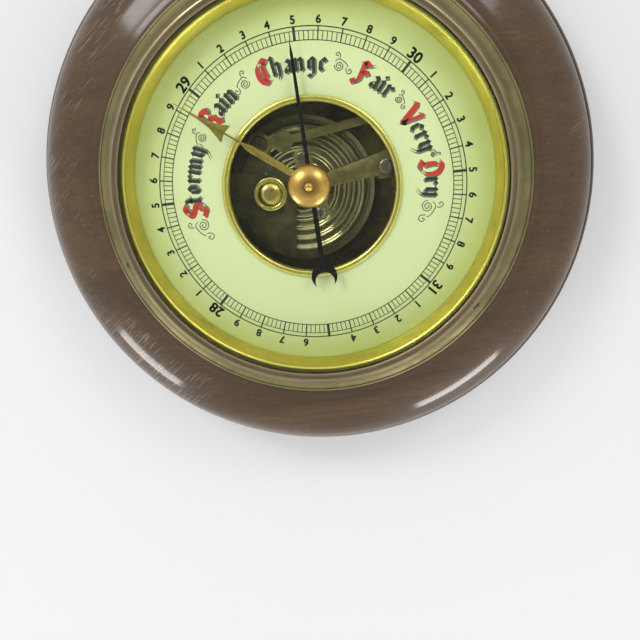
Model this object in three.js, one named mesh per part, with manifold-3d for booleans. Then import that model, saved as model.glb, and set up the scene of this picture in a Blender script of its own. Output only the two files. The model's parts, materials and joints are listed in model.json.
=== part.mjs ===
// Round aneroid barometer lying on its back: dial up (+Z), twelve o'clock towards +Y, millimetres.
// The origin is the middle of the wooden frame's flat back.
import * as THREE from "three";
import { mergeVertices } from "three/addons/utils/BufferGeometryUtils.js";
import Module from "manifold-3d";

const wasm = await Module();
wasm.setup();

// ---------- driving dimensions ----------
const GAP = 0.3; // air left between pieces that touch
const RING_SIDES = 60;
const FRAME_R = 87.4; // outside of the turned frame
const FRAME_HOLE_R = 53.5; // hole that takes the movement pan
const BEZEL_SEAT_Z = 29.4; // top of the frame under the bezel
const BEZEL_R = 64.8;
const BEZEL_AT = [0.4, 0]; // the bezel and its rings sit a little to the right in the wood
const PIN_RING_R = 60.9;
const LIP_R = 56.8; // inside of the bezel's lip
const LIP_Z = 38.6;
const GLASS_Z = [35.9, 37.9];
const GLASS_R = 57.7;
const SIGHT_R = 53.25; // dial seen inside the sight ring
const DIAL_Z = [29.2, 30]; // underside and face of the dial
const DIAL_R = 55.6;
const DIAL_HOLE_R = 25.7;
const PAN_R = 52.8;
const PIN_CLOCK = [13, 133, 253]; // bezel pins, degrees clockwise from twelve
const PAN_SCREW_CLOCK = [43, 163, 283];
const PAN_SCREW_R = 58.8;
const MOVEMENT_AT = [-0.2, -1.3]; // the movement sits a little low in its case

// movement, measured from the arbor
const BASE_Z = [3.4, 5.2];
const BASE_R = 47;
const CAPSULE_AT = [-4, -0.8];
const CAPSULE_R = 22.5;
const CAPSULE_Z = [8.2, 11.6, 15.2]; // bottom skin, rim, top skin
const LEAF_Z = [17.2, 18.2]; // upper leaf of the main spring
const FOOT_Z = [6.9, 7.9]; // its lower leaf
const BEND_X = -33;
const LEVER_Z = [18.5, 19.6];
const LEVER_SCREW_AT = [-15.3, 14.1];
const LEVER_LOBE_AT = [-8, 14.2];
const ROCKER_X = 33;
const ROCKER_Z = 10;
const CRANK = 2.4; // rocker axis to crank pin
const LINK_AT = [ROCKER_X + CRANK, 20.3];
const CHAIN_Y = 0.72;
const CHAIN_Z = 21;
const BRIDGE_Z = [23.2, 24.4];
const COCK_Z = [19.3, 20.2];
const PILLARS_AT = [[-2.3, 9.1], [1.5, -8]];
const BRIDGE_POST_AT = [22.5, 3.6];
const POST_CLOCK = [35, 150, 272];
const POST_RING_R = 43.5;

// hands
const HAND_Z = [32.6, 33.1];
const HAND_CLOCK = -1.8;
const HAND_TAIL = 26.4; // arbor to the middle of the crescent
const SET_HAND_Z = [34.7, 35.2];
const SET_HAND_CLOCK = -53.4;
const KNOB_R = 6;

// hanger plate on the back
const HANGER_Y = 68;

// ---------- materials ----------
const finish = (color, roughness, metalness) => new THREE.MeshStandardMaterial({ color, roughness, metalness });
const WOOD = finish(0x5f4a37, 0.35, 0);
const AGED_BRASS = finish(0x7d7350, 0.45, 0.9);
const BRASS = finish(0xb8923f, 0.3, 1);
const GOLD = finish(0xc9b24a, 0.25, 1);
const DIAL_WHITE = finish(0xd3dba6, 0.5, 0);
const STEEL = finish(0xa9a9a2, 0.35, 1);
const DARK_STEEL = finish(0x3b3028, 0.5, 0.8);
const BLUED = finish(0x16171c, 0.3, 0.8);
const NICKEL = finish(0x9c9a88, 0.3, 1);
const GLASS = new THREE.MeshStandardMaterial({ color: 0xdfe8d8, roughness: 0.05, transparent: true, opacity: 0.3 });

// ---------- solids ----------
/** Closed solid from a three.js geometry. */
function solid(geometry) {
  const bare = geometry.clone();
  bare.deleteAttribute("normal");
  bare.deleteAttribute("uv");
  const merged = mergeVertices(bare, 1e-4);
  return new wasm.Manifold(
    new wasm.Mesh({
      numProp: 3,
      vertProperties: merged.attributes.position.array,
      triVerts: new Uint32Array(merged.index.array),
    }),
  );
}

/** three.js geometry of a solid. */
function geometryOf(body) {
  const mesh = body.getMesh();
  return new THREE.BufferGeometry()
    .setAttribute("position", new THREE.BufferAttribute(mesh.vertProperties, 3))
    .setIndex(new THREE.BufferAttribute(mesh.triVerts, 1))
    .toNonIndexed();
}

const join = (...bodies) => bodies.reduce((a, b) => a.add(b));
const cut = (body, ...tools) => tools.reduce((a, b) => a.subtract(b), body);

/** Turned solid: outline of [radius, height] pairs, anticlockwise, from axis to axis or closed on itself. */
function turned(outline, sides = 48) {
  const onAxis = outline[0][0] === 0 && outline.at(-1)[0] === 0;
  const points = (onAxis ? outline : [...outline, outline[0]]).map(([r, z]) => new THREE.Vector2(r, z));
  return solid(new THREE.LatheGeometry(points, sides).rotateX(Math.PI / 2));
}

/** Flat solid between two heights, from a shape or a list of corners. */
function flat(outline, [low, high], curveSegments = 12) {
  const shape = Array.isArray(outline) ? new THREE.Shape(outline.map(([x, y]) => new THREE.Vector2(x, y))) : outline;
  const geometry = new THREE.ExtrudeGeometry(shape, { depth: high - low, bevelEnabled: false, curveSegments });
  return solid(geometry.translate(0, 0, low));
}

/** Upright round bar. */
const disc = ([x, y], r, [low, high], sides = 24) =>
  turned([[0, low], [r, low], [r, high], [0, high]], sides).translate([x, y, 0]);

/** Round bar lying along Y. */
const yBar = ([x, z], r, [y0, y1], sides = 16) =>
  solid(new THREE.CylinderGeometry(r, r, y1 - y0, sides).translate(x, (y0 + y1) / 2, z));

const box = ([x0, x1], [y0, y1], [z0, z1]) =>
  solid(new THREE.BoxGeometry(x1 - x0, y1 - y0, z1 - z0).translate((x0 + x1) / 2, (y0 + y1) / 2, (z0 + z1) / 2));

/** Flat bar of one width between two plan points. */
function strip([xa, ya], [xb, yb], width, heights) {
  const along = new THREE.Vector2(xb - xa, yb - ya).normalize().multiplyScalar(width / 2);
  return flat(
    [
      [xa + along.y, ya - along.x],
      [xb + along.y, yb - along.x],
      [xb - along.y, yb + along.x],
      [xa - along.y, ya + along.x],
    ],
    heights,
  );
}

/** Slotted round-head screw at a plan point: head from `headZ` up, shank down to `tipZ`. */
function screw([x, y], headR, headZ, headH, shankR, tipZ, slotTurn = 30) {
  const top = headZ + headH;
  const body = turned(
    [[0, tipZ], [shankR, tipZ], [shankR, headZ], [headR, headZ], [headR, top - headH / 3], [headR * 0.8, top], [0, top]],
    12,
  );
  const slot = box([-headR * 1.2, headR * 1.2], [-headR * 0.14, headR * 0.14], [top - headH * 0.45, top + 1]);
  return cut(body, slot.rotate([0, 0, slotTurn])).translate([x, y, 0]);
}

/** Slotted screw whose head is below its shank. */
const screwFromBelow = ([x, y], headR, headZ, headH, shankR, tipZ, slotTurn) =>
  screw([0, 0], headR, -headZ, headH, shankR, -tipZ, slotTurn).rotate([180, 0, 0]).translate([x, y, 0]);

const radians = (degrees) => (degrees * Math.PI) / 180;
/** Plan point at a clock angle (degrees clockwise from twelve) and radius. */
const atClock = (degrees, r) => [r * Math.sin(radians(degrees)), r * Math.cos(radians(degrees))];

// ---------- the group ----------
const barometer = new THREE.Group();
const movement = new THREE.Group();
movement.position.set(MOVEMENT_AT[0], MOVEMENT_AT[1], 0);
barometer.add(movement);

function piece(parent, name, body, material) {
  const mesh = new THREE.Mesh(geometryOf(body), material);
  mesh.geometry.computeVertexNormals();
  mesh.name = name;
  parent.add(mesh);
}

// ---------- case: frame, pan, bezel, glass ----------
function woodFrame() {
  const ring = turned(
    [
      [FRAME_HOLE_R, 0],
      [84.6, 0],
      [86.2, 1.4],
      [87.2, 5],
      [FRAME_R, 9],
      [87, 12.4],
      [86.1, 14.1],
      [85.4, 14.3],
      [85.1, 16.4],
      [84, 19.4],
      [82, 22.2],
      [79, 24.6],
      [75, 26.6],
      [70.5, 28.2],
      [66.6, BEZEL_SEAT_Z],
      [60.6, BEZEL_SEAT_Z],
      [60.6, 27.8],
      [FRAME_HOLE_R, 27.8],
    ],
    RING_SIDES,
  );
  const screwHoles = PAN_SCREW_CLOCK.map((clock) => disc(atClock(clock, PAN_SCREW_R), 1.1, [15, 28], 12));
  const platePocket = box([-13.3, 13.3], [HANGER_Y - 6.8, HANGER_Y + 6.8], [-1, 1.8]);
  const nailPocket = box([-4.8, 4.8], [HANGER_Y - 6, HANGER_Y + 6], [-1, 7.6]);
  const hangerHoles = [-9.8, 9.8].map((x) => disc([x, HANGER_Y], 0.9, [-1, 10], 12));
  return cut(ring, ...screwHoles, platePocket, nailPocket, ...hangerHoles);
}

function hangerPlate() {
  const plate = box([-13, 13], [HANGER_Y - 6.5, HANGER_Y + 6.5], [0.2, 1.5]);
  const keyhole = join(
    disc([0, HANGER_Y - 2], 3.6, [-1, 3]),
    disc([0, HANGER_Y + 3.8], 1.9, [-1, 3]),
    box([-1.9, 1.9], [HANGER_Y - 2, HANGER_Y + 3.8], [-1, 3]),
  );
  const screwHoles = [-9.8, 9.8].map((x) => disc([x, HANGER_Y], 1.6, [-1, 3], 16));
  return cut(plate, keyhole, ...screwHoles);
}

function movementPan() {
  const pan = turned(
    [
      [0, 2],
      [PAN_R - 1, 2],
      [PAN_R, 3],
      [PAN_R, 28.1],
      [60.2, 28.1],
      [60.2, 28.9],
      [PAN_R - 0.8, 28.9],
      [PAN_R - 0.8, 3.4],
      [PAN_R - 1.2, 2.9],
      [0, 2.9],
    ],
    RING_SIDES,
  );
  const [dx, dy] = MOVEMENT_AT;
  const flangeHoles = PAN_SCREW_CLOCK.map((clock) => disc(atClock(clock, PAN_SCREW_R), 1, [27, 30], 12));
  const postHoles = POST_CLOCK.map((clock) => {
    const [x, y] = atClock(clock, POST_RING_R);
    return disc([x + dx, y + dy], 1.3, [1, 4], 12);
  });
  const keyHole = disc([CAPSULE_AT[0] + dx, CAPSULE_AT[1] + dy], 3.2, [1, 4]);
  return cut(pan, ...flangeHoles, ...postHoles, keyHole);
}

function bezel() {
  const ring = turned(
    [
      [58.4, 29.7],
      [BEZEL_R - 0.1, 29.7],
      [BEZEL_R, 30.3],
      [64.1, 31.1],
      [62.4, 31.9],
      [61.1, 33.4],
      [60.1, 35.6],
      [59.5, 37.9],
      [58.3, LIP_Z],
      [LIP_R, LIP_Z - 0.3],
      [LIP_R, 38],
      [58.4, 38],
    ],
    RING_SIDES,
  );
  const holes = PIN_CLOCK.map((clock) => disc(atClock(clock, PIN_RING_R), 0.95, [29, 40], 12));
  return cut(ring, ...holes).translate([...BEZEL_AT, 0]);
}

const glass = () =>
  turned(
    [
      [2.2, GLASS_Z[0]],
      [GLASS_R, GLASS_Z[0]],
      [GLASS_R, GLASS_Z[1] - 0.6],
      [55.8, GLASS_Z[1]],
      [2.2, GLASS_Z[1]],
    ],
    RING_SIDES,
  );

const sightRing = () =>
  turned(
    [
      [SIGHT_R, 30.3],
      [57.9, 30.3],
      [57.9, 33.2],
      [56.9, 33.2],
      [56.8, 34.9],
      [56.4, 35.3],
      [55.7, 35.2],
      [55, 34.5],
      [SIGHT_R, 31],
    ],
    RING_SIDES,
  ).translate([...BEZEL_AT, 0]);

piece(barometer, "wood_frame", woodFrame(), WOOD);
piece(barometer, "hanger_plate", hangerPlate(), BRASS);
[-9.8, 9.8].forEach((x, i) =>
  piece(barometer, `hanger_screw_${i + 1}`, screwFromBelow([x, HANGER_Y], 1.3, 1.2, 0.9, 0.6, 9, 20 + 70 * i), BRASS),
);
piece(barometer, "movement_pan", movementPan(), AGED_BRASS);
PAN_SCREW_CLOCK.forEach((clock, i) => {
  const at = atClock(clock, PAN_SCREW_R);
  piece(barometer, `pan_screw_${i + 1}`, screw(at, 1.25, 29.05, 0.45, 0.7, 16, clock), BRASS);
});
piece(barometer, "bezel", bezel(), AGED_BRASS);
PIN_CLOCK.forEach((clock, i) => {
  const [x, y] = atClock(clock, PIN_RING_R).map((v, axis) => v + BEZEL_AT[axis]);
  const pin = turned([[0, 29.8], [0.65, 29.8], [0.65, 34.2], [0.4, 34.6], [0, 34.6]], 12).translate([x, y, 0]);
  piece(barometer, `bezel_pin_${i + 1}`, pin, DARK_STEEL);
});
piece(barometer, "glass", glass(), GLASS);
piece(barometer, "sight_ring", sightRing(), GOLD);

// ---------- dial ----------
const dialPlate = () =>
  turned([[DIAL_HOLE_R, DIAL_Z[0]], [DIAL_R, DIAL_Z[0]], [DIAL_R, DIAL_Z[1]], [DIAL_HOLE_R, DIAL_Z[1]]], RING_SIDES);

const dialRim = () =>
  turned(
    [
      [24.7, 28.6],
      [25.3, 28.6],
      [25.3, 30.3],
      [26.6, 30.3],
      [26.5, 30.7],
      [25.9, 31],
      [25.2, 31],
      [24.7, 30.6],
    ],
    48,
  );

piece(movement, "dial", dialPlate(), DIAL_WHITE);
piece(movement, "dial_rim", dialRim(), GOLD);

// ---------- base plate and posts ----------
function basePlate() {
  const holes = POST_CLOCK.map((clock) => disc(atClock(clock, POST_RING_R), 1.3, [3, 6], 12));
  return cut(disc([0, 0], BASE_R, BASE_Z, 48), disc(CAPSULE_AT, 2.1, [3, 6]), ...holes);
}

piece(movement, "base_plate", basePlate(), AGED_BRASS);
POST_CLOCK.forEach((clock, i) => {
  const at = atClock(clock, POST_RING_R);
  const low = BASE_Z[1] + 0.2;
  const post = turned([[0, 10], [1.3, 10], [1.3, low], [2.2, low], [2.2, 28.9], [0, 28.9]], 16);
  piece(movement, `dial_post_${i + 1}`, post.translate([...at, 0]), BRASS);
  piece(movement, `post_screw_${i + 1}`, screwFromBelow(at, 2.4, 1.7, 1.1, 1, 9.4, clock), BRASS);
});

// ---------- vacuum capsule ----------
/** One corrugated skin: waves from the middle boss out to the rim, flat inside. */
function capsuleHalf(waves, pitch, skinZ, rimZ, bossR, bossZ) {
  const up = Math.sign(skinZ - rimZ);
  const outside = [];
  for (let i = 0; i <= waves * 2; i++)
    outside.push([4.1 + (i * pitch) / 2, skinZ - up * 0.4 * (1 - Math.cos(i * Math.PI))]);
  const rim = rimZ + up * GAP / 2;
  const outline = [
    [0, skinZ - up * 1.5],
    [20.8, skinZ - up * 1.5],
    [21.4, rim],
    [CAPSULE_R, rim],
    [CAPSULE_R, rim + up * 0.5],
    [outside.at(-1)[0] + 0.3, rim + up * 0.7],
    ...outside.reverse(),
    [3.2, skinZ + up * 0.4],
    [bossR, skinZ + up * 0.4],
    [bossR, bossZ],
    [0, bossZ],
  ];
  return turned(up > 0 ? outline : outline.reverse(), 40).translate([...CAPSULE_AT, 0]);
}

piece(movement, "capsule_top", capsuleHalf(5.5, 3, CAPSULE_Z[2], CAPSULE_Z[1], 1.6, 18.9), NICKEL);
piece(movement, "capsule_bottom", capsuleHalf(1.5, 11, CAPSULE_Z[0], CAPSULE_Z[1], 2.6, BASE_Z[1] + GAP), NICKEL);
piece(movement, "adjusting_screw", screwFromBelow(CAPSULE_AT, 2.8, 1.8, 1.3, 1.8, 5.1, 65), STEEL);

// ---------- main spring with its lever ----------
/** C-shaped spring: a foot, a round bend outside the capsule and a half-round leaf over it. */
function mainSpring() {
  const [cx, cy] = CAPSULE_AT;
  const midZ = (FOOT_Z[0] + LEAF_Z[1]) / 2;
  const outer = (LEAF_Z[1] - FOOT_Z[0]) / 2;
  const inner = (LEAF_Z[0] - FOOT_Z[1]) / 2;
  const side = new THREE.Shape();
  side.moveTo(-20, LEAF_Z[1]);
  side.lineTo(BEND_X, LEAF_Z[1]);
  side.absarc(BEND_X, midZ, outer, Math.PI / 2, (3 * Math.PI) / 2, false);
  side.lineTo(-27.6, FOOT_Z[0]);
  side.lineTo(-27.6, FOOT_Z[1]);
  side.lineTo(BEND_X, FOOT_Z[1]);
  side.absarc(BEND_X, midZ, inner, (3 * Math.PI) / 2, Math.PI / 2, true);
  side.lineTo(-20, LEAF_Z[0]);
  const width = 14;
  const strap = solid(
    new THREE.ExtrudeGeometry(side, { depth: width, bevelEnabled: false, curveSegments: 14 })
      .rotateX(Math.PI / 2)
      .translate(0, cy + width / 2, 0),
  );
  const leaf = new THREE.Shape();
  leaf.moveTo(-6.2, -5.8);
  leaf.lineTo(-8.2, -22.2);
  leaf.absarc(-2.6, -2.4, 20.6, radians(-106), radians(143), true);
  leaf.lineTo(-3.8, 2.4);
  const ear = join(strip([-15.6, 4], LEVER_SCREW_AT, 6.4, LEAF_Z), disc(LEVER_SCREW_AT, 3.2, LEAF_Z));
  return cut(
    join(strap, flat(leaf, LEAF_Z, 20), disc(CAPSULE_AT, 3.6, LEAF_Z), ear),
    disc([cx, cy], 1.9, [17, 19]),
    disc(LEVER_SCREW_AT, 1.5, [17, 19], 16),
    disc([-13.8, -1.2], 1.7, [17, 19], 16),
    ...[-4, 4].map((y) => disc([-30.2, cy + y], 1.2, [6, 9], 12)),
  );
}

function mainLever() {
  const end = [LINK_AT[0] + 1.6, LINK_AT[1] + 0.2];
  const body = join(
    disc(LEVER_SCREW_AT, 3.7, LEVER_Z),
    strip(LEVER_SCREW_AT, LEVER_LOBE_AT, 3.4, LEVER_Z),
    disc(LEVER_LOBE_AT, 3.2, LEVER_Z),
    strip(LEVER_LOBE_AT, end, 2.7, LEVER_Z),
  );
  const forkSlot = box([-20, -15.3], [-0.7, 0.7], [18, 21]).translate([0, LEVER_SCREW_AT[1], 0]);
  const linkSlot = box([-1.1, 1.1], [-0.7, 0.7], [18, 21]).translate([...LINK_AT, 0]);
  return cut(body, disc(LEVER_SCREW_AT, 1.5, [18, 21], 16), forkSlot, linkSlot);
}

function springNut() {
  const low = LEAF_Z[1] + GAP;
  return turned(
    [
      [0, 16.8],
      [1.4, 16.8],
      [1.4, low],
      [5.2, low],
      [5.3, low + 1.2],
      [4.9, low + 1.9],
      [4, low + 2.1],
      [3.8, low + 1.8],
      [3.5, low + 2.2],
      [2.2, low + 2.9],
      [0, low + 3.1],
    ],
    24,
  ).translate([-13.8, -1.2, 0]);
}

const springFoot = () =>
  cut(
    box([BEND_X, -27.6], [CAPSULE_AT[1] - 7, CAPSULE_AT[1] + 7], [BASE_Z[1] + GAP, FOOT_Z[0] - GAP]),
    ...[-4, 4].map((y) => disc([-30.2, CAPSULE_AT[1] + y], 1.2, [5, 8], 12)),
  );

piece(movement, "main_spring", mainSpring(), DARK_STEEL);
piece(movement, "spring_nut", springNut(), BRASS);
piece(movement, "spring_pin", disc([-14, 5.1], 0.5, [LEAF_Z[1] + GAP, 20.6], 12), STEEL);
piece(movement, "spring_foot", springFoot(), BRASS);
[-4, 4].forEach((y, i) =>
  piece(movement, `spring_screw_${i + 1}`, screw([-30.2, CAPSULE_AT[1] + y], 1.9, 8.2, 1.1, 0.9, 5.6), STEEL),
);
piece(movement, "main_lever", mainLever(), BRASS);
piece(movement, "lever_screw", screw(LEVER_SCREW_AT, 2.6, LEVER_Z[1] + GAP, 1.5, 1.2, 16.6, -40), DARK_STEEL);

// ---------- link, rocker and chain ----------
function link() {
  const [x, y] = LINK_AT;
  const eye = yBar([x, ROCKER_Z], 1.4, [y - 0.4, y + 0.4]);
  const rod = box([x - 0.6, x + 0.6], [y - 0.4, y + 0.4], [ROCKER_Z + 0.9, 20.9]);
  const head = box([x - 1.7, x + 1.7], [y - 0.4, y + 0.4], [LEVER_Z[1] + GAP, 20.9]);
  return cut(join(eye, rod, head), yBar([x, ROCKER_Z], 0.75, [y - 2, y + 2]));
}

/** Cross shaft: long arm up to the chain, short crank out to the link. */
function rocker() {
  const y = LINK_AT[1];
  return join(
    yBar([ROCKER_X, ROCKER_Z], 0.9, [-0.9, 24.6]),
    yBar([ROCKER_X, ROCKER_Z], 0.5, [-2.4, 26.1]),
    box([ROCKER_X - 0.8, ROCKER_X + 0.8], [CHAIN_Y - 0.5, CHAIN_Y + 0.5], [ROCKER_Z, 20.2]),
    disc([ROCKER_X, CHAIN_Y], 0.35, [20, 21.9], 12),
    box([ROCKER_X, ROCKER_X + CRANK + 0.6], [y + 1.2, y + 2.2], [ROCKER_Z - 0.7, ROCKER_Z + 0.7]),
    yBar([ROCKER_X + CRANK, ROCKER_Z], 0.5, [y - 0.9, y + 1.6]),
  );
}

function rockerBracket() {
  const low = BASE_Z[1] + 0.2;
  const ears = [[-2.3, -1.2], [25, 26.1]].map((y) =>
    join(
      box([ROCKER_X - 1.6, ROCKER_X + 1.6], y, [low, ROCKER_Z]),
      yBar([ROCKER_X, ROCKER_Z], 1.6, y),
    ),
  );
  return cut(
    join(box([30.6, 35.4], [-2.3, 26.1], [low, low + 1]), ...ears),
    yBar([ROCKER_X, ROCKER_Z], 0.57, [-5, 30]),
    ...[6, 15].map((y) => disc([ROCKER_X, y], 0.95, [5, 7], 12)),
  );
}

function chain() {
  const bar = box([0, ROCKER_X - 0.6], [CHAIN_Y - 0.2, CHAIN_Y + 0.2], [CHAIN_Z - 0.2, CHAIN_Z + 0.2]);
  const eye = disc([ROCKER_X, CHAIN_Y], 1, [CHAIN_Z - 0.2, CHAIN_Z + 0.2], 16);
  return cut(join(bar, eye), disc([ROCKER_X, CHAIN_Y], 0.6, [20, 22], 16));
}

piece(movement, "link", link(), STEEL);
piece(movement, "rocker", rocker(), STEEL);
piece(movement, "rocker_bracket", rockerBracket(), BRASS);
[6, 15].forEach((y, i) =>
  piece(movement, `bracket_screw_${i + 1}`, screw([ROCKER_X, y], 1.5, 6.7, 0.9, 0.7, 5.3, 40 * i), STEEL),
);
piece(movement, "chain", chain(), STEEL);

// ---------- arbor with its bearings and hairspring ----------
function arborBridge() {
  const [a, b] = PILLARS_AT;
  const bosses = [a, b].map((at) => disc(at, 2.5, [BRIDGE_Z[0], 24.9]));
  const bar = strip(a, b, 4.8, BRIDGE_Z);
  const arm = flat([[-1, 2.4], [-1, -2.2], [7, -0.3], [19.4, 1], [24.6, 1.2], [26.6, 5], [24.8, 8.8], [7.5, 4.2]], BRIDGE_Z);
  return cut(
    join(bar, arm, ...bosses),
    disc([0, 0], 0.75, [22, 26], 16),
    ...[a, b].map((at) => disc(at, 0.95, [22, 26], 12)),
    disc(BRIDGE_POST_AT, 1.3, [22, 26], 12),
  );
}

const lowerCock = () =>
  cut(
    join(strip(...PILLARS_AT, 4.4, COCK_Z), ...PILLARS_AT.map((at) => disc(at, 2.2, COCK_Z))),
    disc([0, 0], 0.42, [18, 22], 16),
  );

/** Post under the bridge's far end, with a square shoulder. */
function bridgePost() {
  const [x, y] = BRIDGE_POST_AT;
  const shoulder = box([x - 2.6, x + 1.8], [y - 3.6, y], [21.4, 22.9]);
  const shank = disc([x, y], 2, [BASE_Z[1] + GAP, 22.9]);
  return cut(join(shank, shoulder), disc([x, y], 1.2, [17, 24], 12));
}

const arbor = () =>
  turned(
    [
      [0, 19.3],
      [0.35, 19.3],
      [0.35, 20.5],
      [0.47, 20.5],
      [0.47, 21.6],
      [1.1, 21.7],
      [1.1, 22.7],
      [0.66, 22.8],
      [0.66, 33.6],
      [0, 33.6],
    ],
    16,
  );

/** Flat spiral spring around the arbor's collet. */
function hairspring() {
  const turns = 4;
  const steps = 56;
  const inside = [];
  const outside = [];
  for (let i = 0; i <= steps; i++) {
    const a = (i / steps) * turns * 2 * Math.PI;
    const r = 1.5 + (i / steps) * 4;
    inside.push([r * Math.cos(a), r * Math.sin(a)]);
    outside.push([(r + 0.24) * Math.cos(a), (r + 0.24) * Math.sin(a)]);
  }
  return flat([...outside, ...inside.reverse()], [22, 22.5]);
}

piece(movement, "lower_cock", lowerCock(), BRASS);
PILLARS_AT.forEach((at, i) => {
  const pillar = cut(disc(at, 1.6, [COCK_Z[1] + GAP, BRIDGE_Z[0] - GAP], 16), disc(at, 0.9, [19, 25], 12));
  piece(movement, `cock_pillar_${i + 1}`, pillar, BRASS);
  piece(movement, `bridge_screw_${i + 1}`, screw(at, 1.6, 25.1, 1, 0.6, 20.6, 30 + 50 * i), STEEL);
});
piece(movement, "arbor_bridge", arborBridge(), BRASS);
piece(movement, "bridge_post", bridgePost(), BRASS);
piece(movement, "bridge_post_screw", screw(BRIDGE_POST_AT, 2.3, BRIDGE_Z[1] + GAP, 1.4, 1, 17.6, 75), STEEL);
piece(movement, "arbor", arbor(), STEEL);
piece(movement, "hairspring", hairspring(), BLUED);
piece(movement, "hairspring_stud", disc([6.5, 0.3], 0.5, [21.8, 22.9], 12), BRASS);

// ---------- hands ----------
/** Pointer drawn towards +Y, then turned to its clock angle. */
const toClock = (body, clock) => body.rotate([0, 0, -clock]);

/** Blued pointer with a crescent tail. */
function indicatorHand() {
  const blade = flat([[-0.7, 0], [-0.75, -HAND_TAIL + 3.4], [0.75, -HAND_TAIL + 3.4], [0.7, 0], [0.42, 38], [0, 42.2], [-0.42, 38]], HAND_Z);
  const crescent = cut(
    disc([0, -HAND_TAIL], 3.9, HAND_Z, 32),
    disc([0, -HAND_TAIL - 1.6], 2.9, [32, 34], 32),
  );
  const hub = turned([[0, 32.2], [1.9, 32.2], [1.9, 33.2], [1.4, 33.8], [0, 33.8]], 24);
  return toClock(cut(join(blade, crescent, hub), disc([0, 0], 0.9, [31, 35], 16)), HAND_CLOCK);
}

/** Brass pointer with a barbed head and a needle tip. */
function setHand() {
  const half = [[1, 0], [1.05, 19.2], [0.85, 21.2], [0.28, 23.4], [0.28, 28.9], [2.8, 28.4], [1.9, 30.6], [0.95, 33.4], [0.4, 37], [0.12, 45.8]];
  const outline = [...half, ...half.map(([x, y]) => [-x, y]).reverse()];
  const hub = turned([[0, 34.3], [2.9, 34.3], [2.9, 35.3], [2.4, 35.6], [0, 35.6]], 24);
  return toClock(cut(join(flat(outline, SET_HAND_Z), hub), disc([0, 0], 1.9, [34, 36], 16)), SET_HAND_CLOCK);
}

const setKnob = () =>
  turned(
    [
      [0, 34.5],
      [1.6, 34.5],
      [1.6, 39],
      [3.6, 39],
      [3.6, 40.2],
      [KNOB_R - 0.5, 40.6],
      [KNOB_R, 41.4],
      [KNOB_R, 44.4],
      [5.6, 45.6],
      [4.6, 46.5],
      [2.8, 47.2],
      [1, 47.4],
      [0, 46.8],
    ],
    32,
  );

piece(movement, "indicator_hand", indicatorHand(), BLUED);
piece(barometer, "set_hand", setHand(), GOLD);
piece(barometer, "set_knob", setKnob(), BRASS);
piece(barometer, "set_washer", turned([[1.9, 38.2], [4.6, 38.2], [4.6, 38.7], [1.9, 38.7]], 24), BRASS);

export default barometer;
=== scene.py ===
"""Looks for a round aneroid barometer, laid out as a Blender add-on.

Each operator models one piece or group of like pieces round the fixed frame, gives it its finish and
lets it ride on the body it belongs to. Outlines are in millimetres, as (distance from the middle, height).
"""
import json
import math

import bpy
from mathutils import Matrix, Vector

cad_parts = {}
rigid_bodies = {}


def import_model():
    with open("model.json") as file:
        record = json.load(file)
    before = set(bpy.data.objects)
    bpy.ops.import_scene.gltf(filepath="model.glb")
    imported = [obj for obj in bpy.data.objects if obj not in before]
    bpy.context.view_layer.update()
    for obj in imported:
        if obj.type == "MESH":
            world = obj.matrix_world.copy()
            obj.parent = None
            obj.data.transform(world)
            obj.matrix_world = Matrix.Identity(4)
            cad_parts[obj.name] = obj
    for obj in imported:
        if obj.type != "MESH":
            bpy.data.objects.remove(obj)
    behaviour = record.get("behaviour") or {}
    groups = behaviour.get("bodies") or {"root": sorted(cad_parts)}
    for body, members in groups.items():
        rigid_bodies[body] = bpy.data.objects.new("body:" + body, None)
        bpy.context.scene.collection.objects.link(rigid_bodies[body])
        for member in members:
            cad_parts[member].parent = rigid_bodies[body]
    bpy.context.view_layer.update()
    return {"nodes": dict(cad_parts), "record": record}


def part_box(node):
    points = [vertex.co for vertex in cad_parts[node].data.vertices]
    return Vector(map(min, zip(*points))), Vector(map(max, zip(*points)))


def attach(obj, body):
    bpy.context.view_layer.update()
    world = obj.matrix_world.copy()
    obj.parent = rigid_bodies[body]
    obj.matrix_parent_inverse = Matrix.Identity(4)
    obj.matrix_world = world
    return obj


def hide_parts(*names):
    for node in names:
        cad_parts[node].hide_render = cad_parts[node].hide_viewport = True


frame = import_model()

bl_info = {
    "name": "Aneroid Barometer",
    "version": (1, 0, 0),
    "blender": (4, 5, 0),
    "location": "View3D > Sidebar > Barometer",
    "description": "Models and finishes a round wall barometer on its fixed frame",
    "category": "Add Mesh",
}

MM = 0.001
DIAL_AT = (-0.2, -1.3)          # middle of the dial and movement
BEZEL_AT = (0.4, 0.0)           # middle of the bezel and sight ring
CAPSULE_AT = (-4.2, -2.1)
NUT_AT = (-14.0, -2.5)
DIAL_TOP = 30.0
INK_FOOT = DIAL_TOP - 0.01      # printing starts just inside the plate
SCALE_CIRCLES = (41.7, 44.28, 45.5)
WORDS_OUT = 33.2                # distance of the words' foot line from the dial's middle
CAMERA_AT = (16.75, 14.29, 276.88)
CAMERA_TURN = (-13.1927, 2.9372, -6.6634)   # degrees about X, then Y, then Z


# ---------------------------------------------------------------- colours
def paint(r, g, b):
    """A colour as it is mixed on a card, 0 to 255, as linear light."""
    out = []
    for value in (r, g, b):
        value /= 255
        out.append(value / 12.92 if value <= 0.04045 else ((value + 0.055) / 1.055) ** 2.4)
    return (*out, 1.0)


# ---------------------------------------------------------------- settings
def colour(name, description, card):
    return bpy.props.FloatVectorProperty(
        name=name, description=description, subtype="COLOR", size=4, min=0, max=1, default=paint(*card))


def length(name, description, default_mm):
    return bpy.props.FloatProperty(
        name=name, description=description, default=default_mm * MM, min=0, unit="LENGTH", precision=5)


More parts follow.
